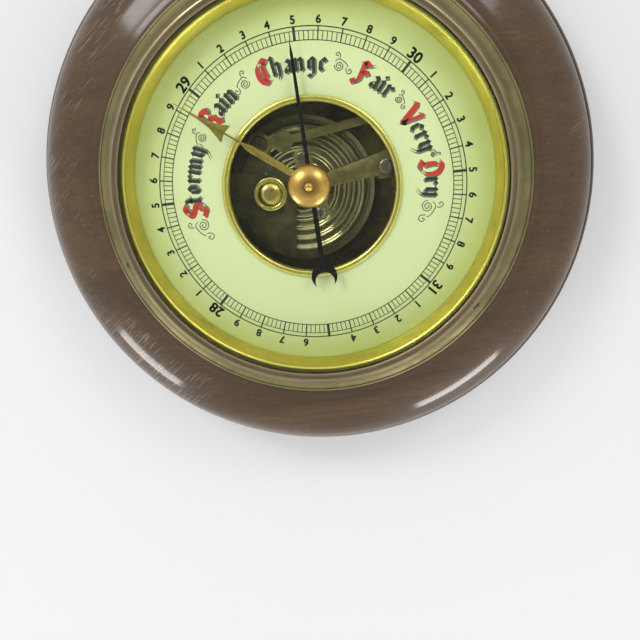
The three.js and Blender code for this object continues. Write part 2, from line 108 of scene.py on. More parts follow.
class WoodSettings(bpy.types.PropertyGroup):
    """Size and stain of the turned wooden frame."""
    sides: bpy.props.IntProperty(
        name="Sides", description="Flats round each turned piece", default=192, min=48, max=288)
    seat_edge: length("Seat edge", "Rounding of the bezel's seat and the bore", 0.3)
    light: colour("Stain, light", "Lighter part of the stained grain", (88, 65, 41))
    dark: colour("Stain, dark", "Darker part of the stained grain", (62, 45, 28))
    pore: colour("Pores", "Short dark flecks in the grain", (38, 28, 19))


class MetalSettings(bpy.types.PropertyGroup):
    """Colours of the brass, steel and capsule."""
    bezel: colour("Bezel brass", "Dull olive brass of the bezel", (128, 119, 80))
    lip: colour("Bezel bare edge", "Rubbed edges of the bezel", (150, 134, 106))
    gilt: colour("Gilt brass", "Bright lacquered brass of the rings", (222, 206, 98))
    knob: colour("Knob brass", "Warm brass of the knob and the set hand", (196, 162, 88))
    works: colour("Works brass", "Brass of the movement", (166, 158, 94))
    steel: colour("Steel", "Bright steel of screws and arbors", (176, 176, 170))
    spring: colour("Spring steel", "Browned steel of the main spring", (112, 106, 66))
    blue: colour("Blued steel", "Pointer and hairspring", (26, 27, 34))
    capsule: colour("Capsule", "Plated skin of the vacuum capsule", (220, 214, 168))
    edge: length("Edge break", "Rounding of plates and levers", 0.12)


class DialSettings(bpy.types.PropertyGroup):
    """Dial colours and printing."""
    pale: colour("Dial, middle", "Silvered face near the opening", (232, 240, 192))
    # the rim colour is the yellowed face together with painted shade from the sight ring
    yellowed_and_shaded: colour("Dial, rim", "Yellowed face at the rim", (200, 210, 126))
    ink: colour("Ink", "Black printing", (40, 43, 38))
    shadow: colour("Shadow ink", "Grey shading of the letters", (104, 112, 104))
    red: colour("Capitals", "Red of the capitals", (204, 46, 42))
    small_digit: length("Small figures", "Height of the tenths figures", 2.4)
    large_digit: length("Large figures", "Height of the inch figures", 3.3)
    nib: length("Nib", "Width of the pen of the small letters", 1.14)


class StageSettings(bpy.types.PropertyGroup):
    """Floor, light and camera."""
    floor: colour("Floor", "Pale floor", (200, 200, 201))
    glow: bpy.props.FloatProperty(
        name="Room light", description="Strength of the room light near the horizon", default=1.0, min=0)
    windows: bpy.props.FloatProperty(
        name="Softboxes", description="Strength of the softboxes", default=1.0, min=0)
    lens: bpy.props.FloatProperty(
        name="Lens", description="Focal length in millimetres", default=46.22, min=10)


# ---------------------------------------------------------------- modelling by hand
def clear():
    """Leaves edit mode and deselects everything."""
    if bpy.context.view_layer.objects.active and bpy.context.view_layer.objects.active.mode != "OBJECT":
        bpy.ops.object.mode_set(mode="OBJECT")
    bpy.ops.object.select_all(action="DESELECT")


def only(obj):
    clear()
    obj.select_set(True)
    bpy.context.view_layer.objects.active = obj
    return obj


def edit(obj):
    only(obj)
    bpy.ops.object.mode_set(mode="EDIT")
    bpy.ops.mesh.select_mode(type="VERT")


def settle(obj):
    """Back to object mode, with the place in the mesh."""
    only(obj)
    bpy.ops.object.transform_apply(location=True, rotation=True, scale=True)
    return obj


def point(x=0.0, y=0.0, z=0.0, name="point"):
    """One vertex in edit mode, the start of an outline. Added to the mesh in edit mode, or to a new one."""
    place = Vector((x, y, z)) * MM
    if bpy.context.view_layer.objects.active and bpy.context.view_layer.objects.active.mode == "EDIT":
        bpy.ops.mesh.select_all(action="DESELECT")
        bpy.ops.mesh.primitive_plane_add(size=MM, location=place)
        bpy.ops.mesh.merge(type="CENTER")
        return bpy.context.view_layer.objects.active
    clear()
    bpy.ops.mesh.primitive_plane_add(size=MM, location=place)
    obj = bpy.context.view_layer.objects.active
    obj.name = obj.data.name = name
    bpy.ops.object.transform_apply(location=True, rotation=True, scale=True)
    bpy.ops.object.mode_set(mode="EDIT")
    bpy.ops.mesh.select_mode(type="VERT")
    bpy.ops.mesh.select_all(action="SELECT")
    bpy.ops.mesh.merge(type="CENTER")
    return obj


def draw_on(steps):
    """Extrudes the last vertex along a chain of moves in millimetres."""
    for step in steps:
        bpy.ops.mesh.extrude_vertices_move(TRANSFORM_OT_translate={"value": Vector(step) * MM})


def flowing(points, steps=6):
    """A smooth line through the points."""
    if len(points) < 3:
        return list(points)
    line = []
    for i in range(len(points) - 1):
        a, b = points[max(i - 1, 0)], points[i]
        c, d = points[i + 1], points[min(i + 2, len(points) - 1)]
        for k in range(steps):
            t = k / steps
            line.append(tuple(
                0.5 * (2 * q + (r - p) * t + (2 * p - 5 * q + 4 * r - s) * t * t
                       + (3 * q - p - 3 * r + s) * t ** 3)
                for p, q, r, s in zip(a, b, c, d)))
    line.append(points[-1])
    return line


def turned(name, outline, at=(0.0, 0.0), sides=None):
    """Spins a closed outline of (distance, height) round the upright through at."""
    sides = sides or bpy.context.scene.barometer_wood.sides
    (r, z), around = outline[0], list(outline[1:]) + [outline[0]]
    obj = point(at[0] + r, at[1], z, name)
    last = (r, z)
    for here in around:
        draw_on([(here[0] - last[0], 0, here[1] - last[1])])
        last = here
    bpy.ops.mesh.select_all(action="SELECT")
    bpy.ops.mesh.spin(steps=sides, angle=2 * math.pi, center=(at[0] * MM, at[1] * MM, 0), axis=(0, 0, 1))
    bpy.ops.mesh.select_all(action="SELECT")
    bpy.ops.mesh.remove_doubles(threshold=1e-6)
    bpy.ops.mesh.normals_make_consistent(inside=False)
    return settle(obj)


def drilled(obj, holes):
    """Bores holes (x, y, radius, low, high), in millimetres."""
    for x, y, radius, low, high in holes:
        clear()
        bpy.ops.mesh.primitive_cylinder_add(
            vertices=40, radius=radius * MM, depth=(high - low) * MM,
            location=Vector((x, y, (low + high) / 2)) * MM)
        cut(obj, settle(bpy.context.view_layer.objects.active))
    return obj


def cut(obj, tool):
    """Takes the tool's shape out of obj, and removes the tool."""
    only(obj)
    mod = obj.modifiers.new("cut", "BOOLEAN")
    mod.operation, mod.solver, mod.object = "DIFFERENCE", "EXACT", tool
    bpy.ops.object.modifier_apply(modifier=mod.name)
    only(tool)
    bpy.ops.object.delete()


def block(x, y, z, turn=0.0, at=(0.0, 0.0)):
    """A block between the given limits, turned about at; a tool for cutting."""
    clear()
    size = Vector((x[1] - x[0], y[1] - y[0], z[1] - z[0])) * MM
    bpy.ops.mesh.primitive_cube_add(size=1, location=Vector((sum(x) / 2, sum(y) / 2, sum(z) / 2)) * MM)
    obj = bpy.context.view_layer.objects.active
    obj.scale = size
    settle(obj)
    spin = Matrix.Rotation(math.radians(turn), 4, "Z")
    obj.matrix_world = Matrix.Translation(Vector((*at, 0)) * MM) @ spin
    return settle(obj)


def softened(obj, width, segments=2, angle=35):
    """Breaks the sharp edges."""
    only(obj)
    mod = obj.modifiers.new("edges", "BEVEL")
    mod.width, mod.segments = width, segments
    mod.limit_method, mod.angle_limit = "ANGLE", math.radians(angle)
    bpy.ops.object.modifier_apply(modifier=mod.name)
    return obj


def refined(name, node, width=0.0, segments=2):
    """A merged copy of a frame node with its edges broken."""
    clear()
    obj = bpy.data.objects.new(name, frame["nodes"][node].data.copy())
    obj.data.name = name
    bpy.context.scene.collection.objects.link(obj)
    edit(obj)
    bpy.ops.mesh.select_all(action="SELECT")
    bpy.ops.mesh.remove_doubles(threshold=2e-6)
    bpy.ops.mesh.dissolve_limited(angle_limit=math.radians(0.5))
    bpy.ops.mesh.normals_make_consistent(inside=False)
    bpy.ops.object.mode_set(mode="OBJECT")
    if width:
        softened(obj, width, segments, 42)
    return obj


def copy_of(obj, name, move=Matrix.Identity(4)):
    """A copy with its own mesh, moved."""
    twin = bpy.data.objects.new(name, obj.data.copy())
    twin.data.name = name
    twin.data.transform(move)
    bpy.context.scene.collection.objects.link(twin)
    return twin


def joined(name, pieces):
    """Joins pieces into the first."""
    clear()
    for piece in pieces:
        piece.select_set(True)
    bpy.context.view_layer.objects.active = pieces[0]
    bpy.ops.object.join()
    pieces[0].name = pieces[0].data.name = name
    return pieces[0]


def done(obj, material, *nodes, like="", smooth=35):
    """Smooths a finished piece, gives it its material and lets it ride with the nodes it stands for."""
    only(obj)
    if smooth:
        bpy.ops.object.shade_smooth_by_angle(angle=math.radians(smooth))
    obj.data.materials.clear()
    for each in material if isinstance(material, (list, tuple)) else [material]:
        obj.data.materials.append(made(each))
    pattern = like or nodes[0]
    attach(obj, body_of(pattern))
    if nodes:
        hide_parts(*nodes)
    clear()
    return obj


def body_of(node):
    for body, members in frame["record"]["behaviour"]["bodies"].items():
        if node in members:
            return body
    raise RuntimeError(node + " is on no body")


def titled(node):
    """A node's name as a piece's name."""
    return "_".join(word.capitalize() for word in node.split("_"))


# ---------------------------------------------------------------- nodes
def wire(tree, socket, value):
    if isinstance(value, bpy.types.NodeSocket):
        tree.links.new(value, socket)
    elif value is not None:
        socket.default_value = value


def add(tree, kind, props=None, **inputs):
    node = tree.nodes.new("ShaderNode" + kind)
    for key, value in (props or {}).items():
        setattr(node, key, value)
    for key, value in inputs.items():
        wire(tree, node.inputs[key.replace("_", " ")], value)
    return node


def calc(tree, operation, a, b=None, c=None, clamp=False):
    node = tree.nodes.new("ShaderNodeMath")
    node.operation, node.use_clamp = operation, clamp
    for socket, value in zip(node.inputs, (a, b, c)):
        wire(tree, socket, value)
    return node.outputs[0]


def times(tree, a, b, clamp=False):
    return calc(tree, "MULTIPLY", a, b, clamp=clamp)


def plus(tree, a, b, clamp=False):
    return calc(tree, "ADD", a, b, clamp=clamp)


def minus(tree, a, b):
    return calc(tree, "SUBTRACT", a, b)


def from_upright(tree, flat):
    """The distance from the upright axis, of a split vector."""
    return calc(tree, "SQRT", plus(tree, times(tree, flat[0], flat[0]), times(tree, flat[1], flat[1])))


def vcalc(tree, operation, a, b=None, scale=None):
    node = tree.nodes.new("ShaderNodeVectorMath")
    node.operation = operation
    wire(tree, node.inputs[0], a)
    if b is not None:
        wire(tree, node.inputs[1], b)
    if scale is not None:
        wire(tree, node.inputs["Scale"], scale)
    return node.outputs["Value" if operation in ("LENGTH", "DOT_PRODUCT") else "Vector"]


def fit(tree, value, low, high, to_low=0.0, to_high=1.0):
    node = tree.nodes.new("ShaderNodeMapRange")
    node.interpolation_type = "SMOOTHSTEP"
    for key, each in zip(("Value", "From Min", "From Max", "To Min", "To Max"),
                         (value, low, high, to_low, to_high)):
        wire(tree, node.inputs[key], each)
    return node.outputs[0]


def noise(tree, vector, scale, detail=3.0, roughness=0.55, twist=0.0):
    return add(tree, "TexNoise", Vector=vector, Scale=scale, Detail=detail, Roughness=roughness,
               Distortion=twist).outputs["Fac"]


def blend(tree, factor, a, b, mode="MIX"):
    node = tree.nodes.new("ShaderNodeMix")
    node.data_type, node.blend_type = "RGBA", mode
    wire(tree, node.inputs["Factor"], factor)
    wire(tree, node.inputs[6], a)
    wire(tree, node.inputs[7], b)
    return node.outputs[2]


def group(name, inputs, outputs):
    """A new shader node group. Inputs are (name, kind, default), outputs are (name, kind)."""
    tree = bpy.data.node_groups.new(name, "ShaderNodeTree")
    for label, kind, default in inputs:
        socket = tree.interface.new_socket(label, in_out="INPUT", socket_type="NodeSocket" + kind)
        if default is not None:
            socket.default_value = default
    for label, kind in outputs:
        tree.interface.new_socket(label, in_out="OUTPUT", socket_type="NodeSocket" + kind)
    return tree, tree.nodes.new("NodeGroupInput").outputs, tree.nodes.new("NodeGroupOutput").inputs


def place(tree, name, **inputs):
    """Places a shared group in a tree with its own values."""
    node = tree.nodes.new("ShaderNodeGroup")
    node.node_tree = bpy.data.node_groups[name]
    for key, value in inputs.items():
        wire(tree, node.inputs[key.replace("_", " ")], value)
    return node.outputs


# ---------------------------------------------------------------- shared effects
def edge_wear_group():
    """Where edges are rubbed: where the true normal and a rounded one differ, broken up by noise."""
    tree, given, out = group("Edge Wear", [("Vector", "Vector", None), ("Width", "Float", 0.0004),
                                           ("Patchiness", "Float", 0.5)], [("Mask", "Float")])
    rounded = add(tree, "Bevel", {"samples": 4}, Radius=given["Width"])
    flat = add(tree, "NewGeometry").outputs["Normal"]
    turn = minus(tree, 1.0, vcalc(tree, "DOT_PRODUCT", rounded.outputs[0], flat))
    edge = fit(tree, turn, 0.01, 0.14)
    patches = noise(tree, given["Vector"], 420.0, 4.0)
    broken = fit(tree, patches, times(tree, given["Patchiness"], 0.7), 0.68)
    wire(tree, out["Mask"], times(tree, edge, broken, clamp=True))


def scratches_group():
    """Thin straight scratches in one direction, in scattered bunches."""
    tree, given, out = group("Scratches", [("Vector", "Vector", None), ("Angle", "Float", 0.0),
                                           ("Fineness", "Float", 900.0), ("Stretch", "Float", 0.05),
                                           ("Amount", "Float", 0.5)],
                             [("Mask", "Float")])
    spin = add(tree, "VectorRotate", {"rotation_type": "Z_AXIS"}, Vector=given["Vector"],
               Angle=given["Angle"]).outputs[0]
    split = add(tree, "SeparateXYZ", Vector=spin).outputs
    long = times(tree, split[0], given["Stretch"])
    line = add(tree, "CombineXYZ", X=long, Y=split[1], Z=0.0).outputs[0]
    fine = noise(tree, line, given["Fineness"], 1.5, 0.5)
    bunch = noise(tree, given["Vector"], 55.0, 2.0)
    lines = fit(tree, fine, 0.58, 0.65)
    where = fit(tree, bunch, minus(tree, 0.7, times(tree, given["Amount"], 0.3)), 0.66)
    wire(tree, out["Mask"], times(tree, lines, where, clamp=True))


def tarnish_group():
    """Soft clouds and small dark spots of old metal."""
    tree, given, out = group("Tarnish", [("Vector", "Vector", None), ("Size", "Float", 90.0),
                                         ("Spots", "Float", 0.4)],
                             [("Clouds", "Float"), ("Spots", "Float")])
    clouds = noise(tree, given["Vector"], given["Size"], 5.0, 0.62, 0.4)
    wire(tree, out["Clouds"], fit(tree, clouds, 0.34, 0.68))
    cells = add(tree, "TexVoronoi", Vector=given["Vector"], Scale=times(tree, given["Size"], 7.0)).outputs
    tiny = fit(tree, cells["Distance"], 0.08, 0.3, 1.0, 0.0)
    some = fit(tree, noise(tree, given["Vector"], times(tree, given["Size"], 2.3), 3.0),
               minus(tree, 0.78, times(tree, given["Spots"], 0.3)), 0.8)
    wire(tree, out["Spots"], times(tree, tiny, some, clamp=True))


def lathe_group():
    """Fine rings left by the lathe round an upright through a centre."""
    tree, given, out = group("Lathe Rings", [("Vector", "Vector", None), ("Centre", "Vector", None),
                                             ("Pitch", "Float", 0.00025)], [("Height", "Float")])
    away = vcalc(tree, "SUBTRACT", given["Vector"], given["Centre"])
    level = add(tree, "SeparateXYZ", Vector=away).outputs
    ring = calc(tree, "DIVIDE", from_upright(tree, level), given["Pitch"])
    up = calc(tree, "DIVIDE", level[2], given["Pitch"])
    line = add(tree, "CombineXYZ", X=ring, Y=up, Z=0.0).outputs[0]
    wire(tree, out["Height"], noise(tree, line, 1.0, 2.0, 0.6))


def grain_group():
    """Straight-grained hardwood with short dark pores; the grain runs along X."""
    tree, given, out = group("Wood Grain", [("Vector", "Vector", None), ("Light", "Color", None),
                                            ("Dark", "Color", None), ("Pore", "Color", None)],
                             [("Color", "Color"), ("Height", "Float")])
    wander = add(tree, "TexNoise", Vector=given["Vector"], Scale=14.0, Detail=2.0).outputs["Color"]
    bent = vcalc(tree, "ADD", given["Vector"], vcalc(tree, "SCALE", wander, scale=0.012))
    long = vcalc(tree, "MULTIPLY", bent, (9.0, 95.0, 60.0))
    bands = noise(tree, long, 1.0, 5.0, 0.6, 0.6)
    streak = noise(tree, vcalc(tree, "MULTIPLY", given["Vector"], (60.0, 900.0, 700.0)), 1.0, 3.0, 0.6)
    fleck = noise(tree, vcalc(tree, "MULTIPLY", given["Vector"], (330.0, 2600.0, 2000.0)), 1.0, 2.0, 0.5)
    pores = times(tree, fit(tree, fleck, 0.56, 0.68), fit(tree, bands, 0.3, 0.6), clamp=True)
    tone = plus(tree, times(tree, fit(tree, bands, 0.3, 0.7), 0.62),
                times(tree, fit(tree, streak, 0.3, 0.7), 0.38))
    base = blend(tree, tone, given["Dark"], given["Light"])
    wire(tree, out["Color"], blend(tree, times(tree, pores, 0.55), base, given["Pore"]))
    wire(tree, out["Height"], minus(tree, times(tree, streak, 0.3), pores))


def dust_group():
    """Scattered specks of dust."""
    tree, given, out = group("Dust", [("Vector", "Vector", None), ("Size", "Float", 700.0),
                                      ("Amount", "Float", 0.3)],
                             [("Mask", "Float")])
    cells = add(tree, "TexVoronoi", Vector=given["Vector"], Scale=given["Size"], Randomness=1.0).outputs
    pick = add(tree, "SeparateColor", Color=cells["Color"]).outputs[0]
    chosen = calc(tree, "LESS_THAN", pick, times(tree, given["Amount"], 0.12))
    size = times(tree, fit(tree, cells["Distance"], 0.05, 0.17, 1.0, 0.0), chosen)
    wire(tree, out["Mask"], size)


# ---------------------------------------------------------------- materials
MAKERS = {}


def material(name):
    """Marks a function that wires the material of that name."""
    def keep(maker):
        MAKERS[name] = maker
        return maker
    return keep


def made(name):
    """The material of that name, wired on first use."""
    if name in bpy.data.materials:
        return bpy.data.materials[name]
    mat = bpy.data.materials.new(name)
    mat.use_nodes = True
    tree = mat.node_tree
    surface = next(n for n in tree.nodes if n.type == "BSDF_PRINCIPLED")
    here = tree.nodes.new("ShaderNodeTexCoord").outputs["Object"]
    MAKERS[name](tree, surface, here)
    return mat


def bump(tree, surface, height, depth, strength=1.0):
    node = add(tree, "Bump", Height=height, Distance=depth, Strength=strength)
    wire(tree, surface.inputs["Normal"], node.outputs[0])
    return node


def feed(tree, surface, **inputs):
    for key, value in inputs.items():
        wire(tree, surface.inputs[key.replace("_", " ")], value)


def settings(name):
    return getattr(bpy.context.scene, "barometer_" + name)


@material("Stained Wood")
def stained_wood(tree, surface, here):
    wood = settings("wood")
    grain = place(tree, "Wood Grain", Vector=here, Light=tuple(wood.light), Dark=tuple(wood.dark),
                  Pore=tuple(wood.pore))
    flat = add(tree, "SeparateXYZ", Vector=here).outputs
    radius = from_upright(tree, flat)
    # old polish has gone cloudy in patches beside the bezel
    cloud = noise(tree, here, 26.0, 4.0, 0.6)
    bloom = times(tree, fit(tree, radius, 0.078, 0.066), fit(tree, cloud, 0.3, 0.75), clamp=True)
    colour_now = blend(tree, times(tree, bloom, 0.15), grain["Color"], paint(92, 80, 60))
    # painted shade: the colour is darkened on the steep outer side, down to the foot
    foot = fit(tree, radius, 0.0848, 0.0862)
    colour_now = blend(tree, times(tree, foot, 0.45), colour_now, paint(58, 42, 31))
    left = times(tree, fit(tree, flat[0], -0.03, -0.06), fit(tree, radius, 0.069, 0.074))
    lines = place(tree, "Scratches", Vector=here, Angle=math.radians(-38), Fineness=2000.0, Stretch=0.06,
                  Amount=1.3)["Mask"]
    cross = place(tree, "Scratches", Vector=here, Angle=math.radians(-25), Fineness=2200.0, Stretch=0.05,
                  Amount=0.3)["Mask"]
    marks = plus(tree, times(tree, lines, left), times(tree, cross, 0.4), clamp=True)
    marks = times(tree, marks, fit(tree, radius, 0.0848, 0.0825))
    specks = place(tree, "Dust", Vector=here, Size=700.0, Amount=0.3)["Mask"]
    colour_now = blend(tree, times(tree, marks, 0.75), colour_now, paint(150, 138, 120))
    colour_now = blend(tree, times(tree, specks, 0.5), colour_now, paint(176, 166, 148))
    worn = place(tree, "Edge Wear", Vector=here, Width=0.0006, Patchiness=0.6)["Mask"]
    colour_now = blend(tree, times(tree, worn, 0.4), colour_now, paint(148, 120, 88))
    # the flat back is bare wood
    back = fit(tree, flat[2], 0.0006, 0.0001)
    colour_now = blend(tree, times(tree, back, 0.6), colour_now, paint(150, 120, 88))
    rough = plus(tree, fit(tree, cloud, 0.3, 0.7, 0.3, 0.42), times(tree, marks, 0.2))
    # the polish is thin at the foot and missing on the back
    polish = times(tree, fit(tree, radius, 0.0868, 0.081, 0.2, 0.85), minus(tree, 1.0, back))
    feed(tree, surface, Base_Color=colour_now, Roughness=rough, Specular_IOR_Level=0.1,
         Coat_Roughness=0.11, Coat_IOR=1.36,
         Coat_Weight=polish)
    ripple = noise(tree, here, 60.0, 2.0)
    height = plus(tree, times(tree, grain["Height"], 0.35), times(tree, ripple, 1.5))
    bump(tree, surface, minus(tree, height, marks), 0.00006, 0.5)


def metal(tree, surface, here, bare, dull, rough, size, spots=0.4, centre=None, pitch=0.00022, rings=0.35,
          wear=0.0004, worn_to=None, metallic=1.0):
    """An old metal finish: clouds of tarnish, spots, lathe rings and rubbed edges."""
    old = place(tree, "Tarnish", Vector=here, Size=size, Spots=spots)
    base = blend(tree, old["Clouds"], bare, dull)
    base = blend(tree, times(tree, old["Spots"], 0.7), base, tuple(0.25 * c for c in dull[:3]) + (1.0,))
    worn = place(tree, "Edge Wear", Vector=here, Width=wear, Patchiness=0.45)["Mask"]
    rubbed = metal_colour(worn_to) if worn_to else tuple(min(1.0, 1.35 * c) for c in bare[:3]) + (1.0,)
    base = blend(tree, times(tree, worn, 0.75), base, rubbed)
    hair = place(tree, "Scratches", Vector=here, Angle=0.6, Fineness=2600.0, Stretch=0.04,
                 Amount=0.5)["Mask"]
    level = plus(tree, fit(tree, old["Clouds"], 0.0, 1.0, rough[0], rough[1]),
                 times(tree, old["Spots"], 0.25))
    level = minus(tree, level, times(tree, worn, 0.08))
    height = times(tree, hair, -0.6)
    if centre is not None:
        lathe = place(tree, "Lathe Rings", Vector=here, Centre=(centre[0] * MM, centre[1] * MM, 0),
                      Pitch=pitch)["Height"]
        level = plus(tree, level, times(tree, minus(tree, lathe, 0.5), 0.2))
        height = plus(tree, height, times(tree, lathe, rings))
    feed(tree, surface, Base_Color=base, Roughness=level, Metallic=metallic)
    bump(tree, surface, minus(tree, height, times(tree, old["Spots"], 0.5)), 0.00002, 0.6)


def metal_colour(choice):
    """A colour from the metal settings by its name, or a card colour."""
    return tuple(getattr(settings("metal"), choice)) if isinstance(choice, str) else paint(*choice)


METALS = {   # bare colour, tarnished colour, and how the finish differs
    "Bezel Brass": ("bezel", (104, 96, 64), dict(
        rough=(0.5, 0.64), size=60.0, spots=0.5, centre=BEZEL_AT, pitch=0.0003, rings=0.4, wear=0.0003,
        worn_to="lip",
        metallic=0.7)),
    "Bezel Lip Brass": ("lip", (132, 116, 92), dict(
        rough=(0.3, 0.44), size=80.0, centre=BEZEL_AT, pitch=0.0003, rings=0.3, wear=0.0003,
        worn_to=(196, 178, 150),
        metallic=0.85)),
    "Gilt Brass": ("gilt", (200, 184, 80), dict(
        rough=(0.3, 0.4), size=45.0, spots=0.35, centre=BEZEL_AT, pitch=0.0005, rings=0.15, wear=0.0001)),
    "Dial Rim Brass": ((240, 230, 134), (226, 212, 104), dict(
        rough=(0.26, 0.36), size=60.0, spots=0.3, centre=DIAL_AT, pitch=0.0004, rings=0.1, wear=0.0001)),
    "Knob Brass": ("knob", (168, 134, 68), dict(
        rough=(0.3, 0.42), size=220.0, spots=0.35, centre=(0, 0), pitch=0.00018)),
    "Set Hand Brass": ((196, 178, 88), (150, 132, 60), dict(rough=(0.28, 0.42), size=160.0, wear=0.00015)),
    "Works Brass": ("works", (104, 96, 56), dict(
        rough=(0.3, 0.5), size=110.0, spots=0.55, wear=0.00025, metallic=0.75)),
    "Nut Brass": ((238, 224, 130), (196, 176, 86), dict(
        rough=(0.22, 0.36), size=160.0, centre=NUT_AT, pitch=0.0003, rings=0.4, wear=0.0002)),
    "Pan Brass": ("works", (78, 66, 42), dict(
        rough=(0.34, 0.55), size=45.0, spots=0.6, centre=(0, 0), pitch=0.0005, rings=0.3)),
    "Capsule Skin": ("capsule", (178, 172, 122), dict(
        rough=(0.14, 0.26), size=75.0, spots=0.5, centre=CAPSULE_AT, pitch=0.00028, rings=0.4, wear=0.0002,
        metallic=0.8)),
    "Bright Steel": ("steel", (120, 116, 104), dict(rough=(0.22, 0.38), size=200.0, spots=0.45,
                                                    wear=0.00015)),
    "Spring Steel": ("spring", (66, 60, 38), dict(
        rough=(0.34, 0.5), size=120.0, wear=0.00025, worn_to=(150, 140, 100), metallic=0.6)),
    "Blued Steel": ("blue", (16, 16, 18), dict(
        rough=(0.22, 0.34), size=200.0, spots=0.3, wear=0.00012, worn_to=(70, 70, 74), metallic=0.7)),
}


def metal_maker(bare, dull, look):
    return lambda tree, surface, here: metal(tree, surface, here, metal_colour(bare), paint(*dull), **look)


for finish, recipe in METALS.items():
    MAKERS[finish] = metal_maker(*recipe)


@material("Dial Face")
def dial_face(tree, surface, here):
    dial = settings("dial")
    middle = (DIAL_AT[0] * MM, DIAL_AT[1] * MM, 0.0)
    flat = add(tree, "SeparateXYZ", Vector=vcalc(tree, "SUBTRACT", here, middle)).outputs
    radius = from_upright(tree, flat)
    # the face yellows towards the rim, and it is also darkened there as painted shade from the sight ring
    yellowed_and_shaded = fit(tree, radius, 0.036, 0.0575)
    stain = noise(tree, here, 42.0, 4.0, 0.6)
    yellowed_and_shaded = plus(tree, yellowed_and_shaded, times(tree, minus(tree, stain, 0.5), 0.5), clamp=True)
    base = blend(tree, yellowed_and_shaded, tuple(dial.pale), tuple(dial.yellowed_and_shaded))
    # painted shade: the face is darkened towards the bottom, where the sight ring shades it
    base = blend(tree, times(tree, fit(tree, flat[1], -0.03, -0.058), 0.4), base, paint(176, 184, 92))
    spots = place(tree, "Tarnish", Vector=here, Size=110.0, Spots=0.3)["Spots"]
    base = blend(tree, times(tree, spots, 0.22), base, paint(140, 134, 84))
    specks = place(tree, "Dust", Vector=here, Size=900.0, Amount=0.12)["Mask"]
    base = blend(tree, times(tree, specks, 0.5), base, paint(110, 106, 74))
    brushed = place(tree, "Lathe Rings", Vector=here, Centre=middle, Pitch=0.00012)["Height"]
    feed(tree, surface, Base_Color=base, Roughness=fit(tree, stain, 0.2, 0.8, 0.36, 0.5), Coat_Weight=0.25,
         Coat_Roughness=0.15)
    bump(tree, surface, brushed, 0.000006, 0.4)


def ink(tree, surface, here, colour_now, patch):
    uneven = noise(tree, here, 1400.0, 3.0, 0.6)
    feed(tree, surface, Base_Color=blend(tree, fit(tree, uneven, 0.35, 0.75, 0.0, 0.5), colour_now, patch),
         Roughness=fit(tree, uneven, 0.2, 0.8, 0.34, 0.52))
    bump(tree, surface, uneven, 0.00001, 0.3)


@material("Black Ink")
def black_ink(tree, surface, here):
    ink(tree, surface, here, tuple(settings("dial").ink), paint(62, 66, 60))


@material("Grey Ink")
def grey_ink(tree, surface, here):
    ink(tree, surface, here, tuple(settings("dial").shadow), paint(160, 168, 148))


@material("Dark Grey Ink")
def dark_grey_ink(tree, surface, here):
    ink(tree, surface, here, paint(84, 90, 78), paint(128, 136, 116))


@material("Red Ink")
def red_ink(tree, surface, here):
    ink(tree, surface, here, tuple(settings("dial").red), paint(186, 92, 76))


def clear_glass(tree, surface, here, tint):
    dust = place(tree, "Dust", Vector=here, Size=650.0, Amount=0.2)["Mask"]
    smear = noise(tree, here, 30.0, 3.0)
    rough = plus(tree, fit(tree, smear, 0.4, 0.8, 0.0, 0.02), times(tree, dust, 0.3))
    feed(tree, surface, Base_Color=tint, Roughness=rough, Transmission_Weight=1.0, IOR=1.5, Metallic=0.0)
    bump(tree, surface, smear, 0.00002, 0.1)
    # light passes on to the dial without turning into caustics
    shadow = add(tree, "BsdfTransparent", Color=tint).outputs[0]
    path = add(tree, "LightPath").outputs
    through = calc(tree, "MAXIMUM", path["Is Shadow Ray"], path["Is Diffuse Ray"])
    both = tree.nodes.new("ShaderNodeMixShader")
    wire(tree, both.inputs[0], through)
    tree.links.new(surface.outputs[0], both.inputs[1])
    tree.links.new(shadow, both.inputs[2])
    out = next(n for n in tree.nodes if n.type == "OUTPUT_MATERIAL")
    tree.links.new(both.outputs[0], out.inputs["Surface"])


@material("Clear Glass")
def glass_middle(tree, surface, here):
    clear_glass(tree, surface, here, paint(250, 253, 246))


@material("Glass Edge")
def glass_edge(tree, surface, here):
    clear_glass(tree, surface, here, paint(176, 196, 132))


@material("Pale Floor")
def pale_floor(tree, surface, here):
    tooth = noise(tree, here, 160.0, 4.0)
    base = tuple(settings("stage").floor)
    grained = blend(tree, fit(tree, tooth, 0.3, 0.7, 0.0, 0.04), base, paint(198, 198, 200))
    feed(tree, surface, Base_Color=grained, Roughness=0.75)
    # the table's own brightness keeps the shadow under the frame faint
    feed(tree, surface, Emission_Color=(0.92, 0.92, 0.92, 1.0), Emission_Strength=0.22)
    bump(tree, surface, tooth, 0.00004, 0.1)


# ---------------------------------------------------------------- lettering
# Small letters, drawn with a broad pen: strokes of (x, y) in millimetres on a 3.6 high body.
MINIM = [(-0.3, 3.3), (0, 2.9), (0, 0.7), (0.3, 0.3)]


def arch(x):
    return [(x - 1.3, 2.65), (x - 0.6, 3.3), (x - 0.05, 2.85), (x, 0.7), (x + 0.3, 0.3)]


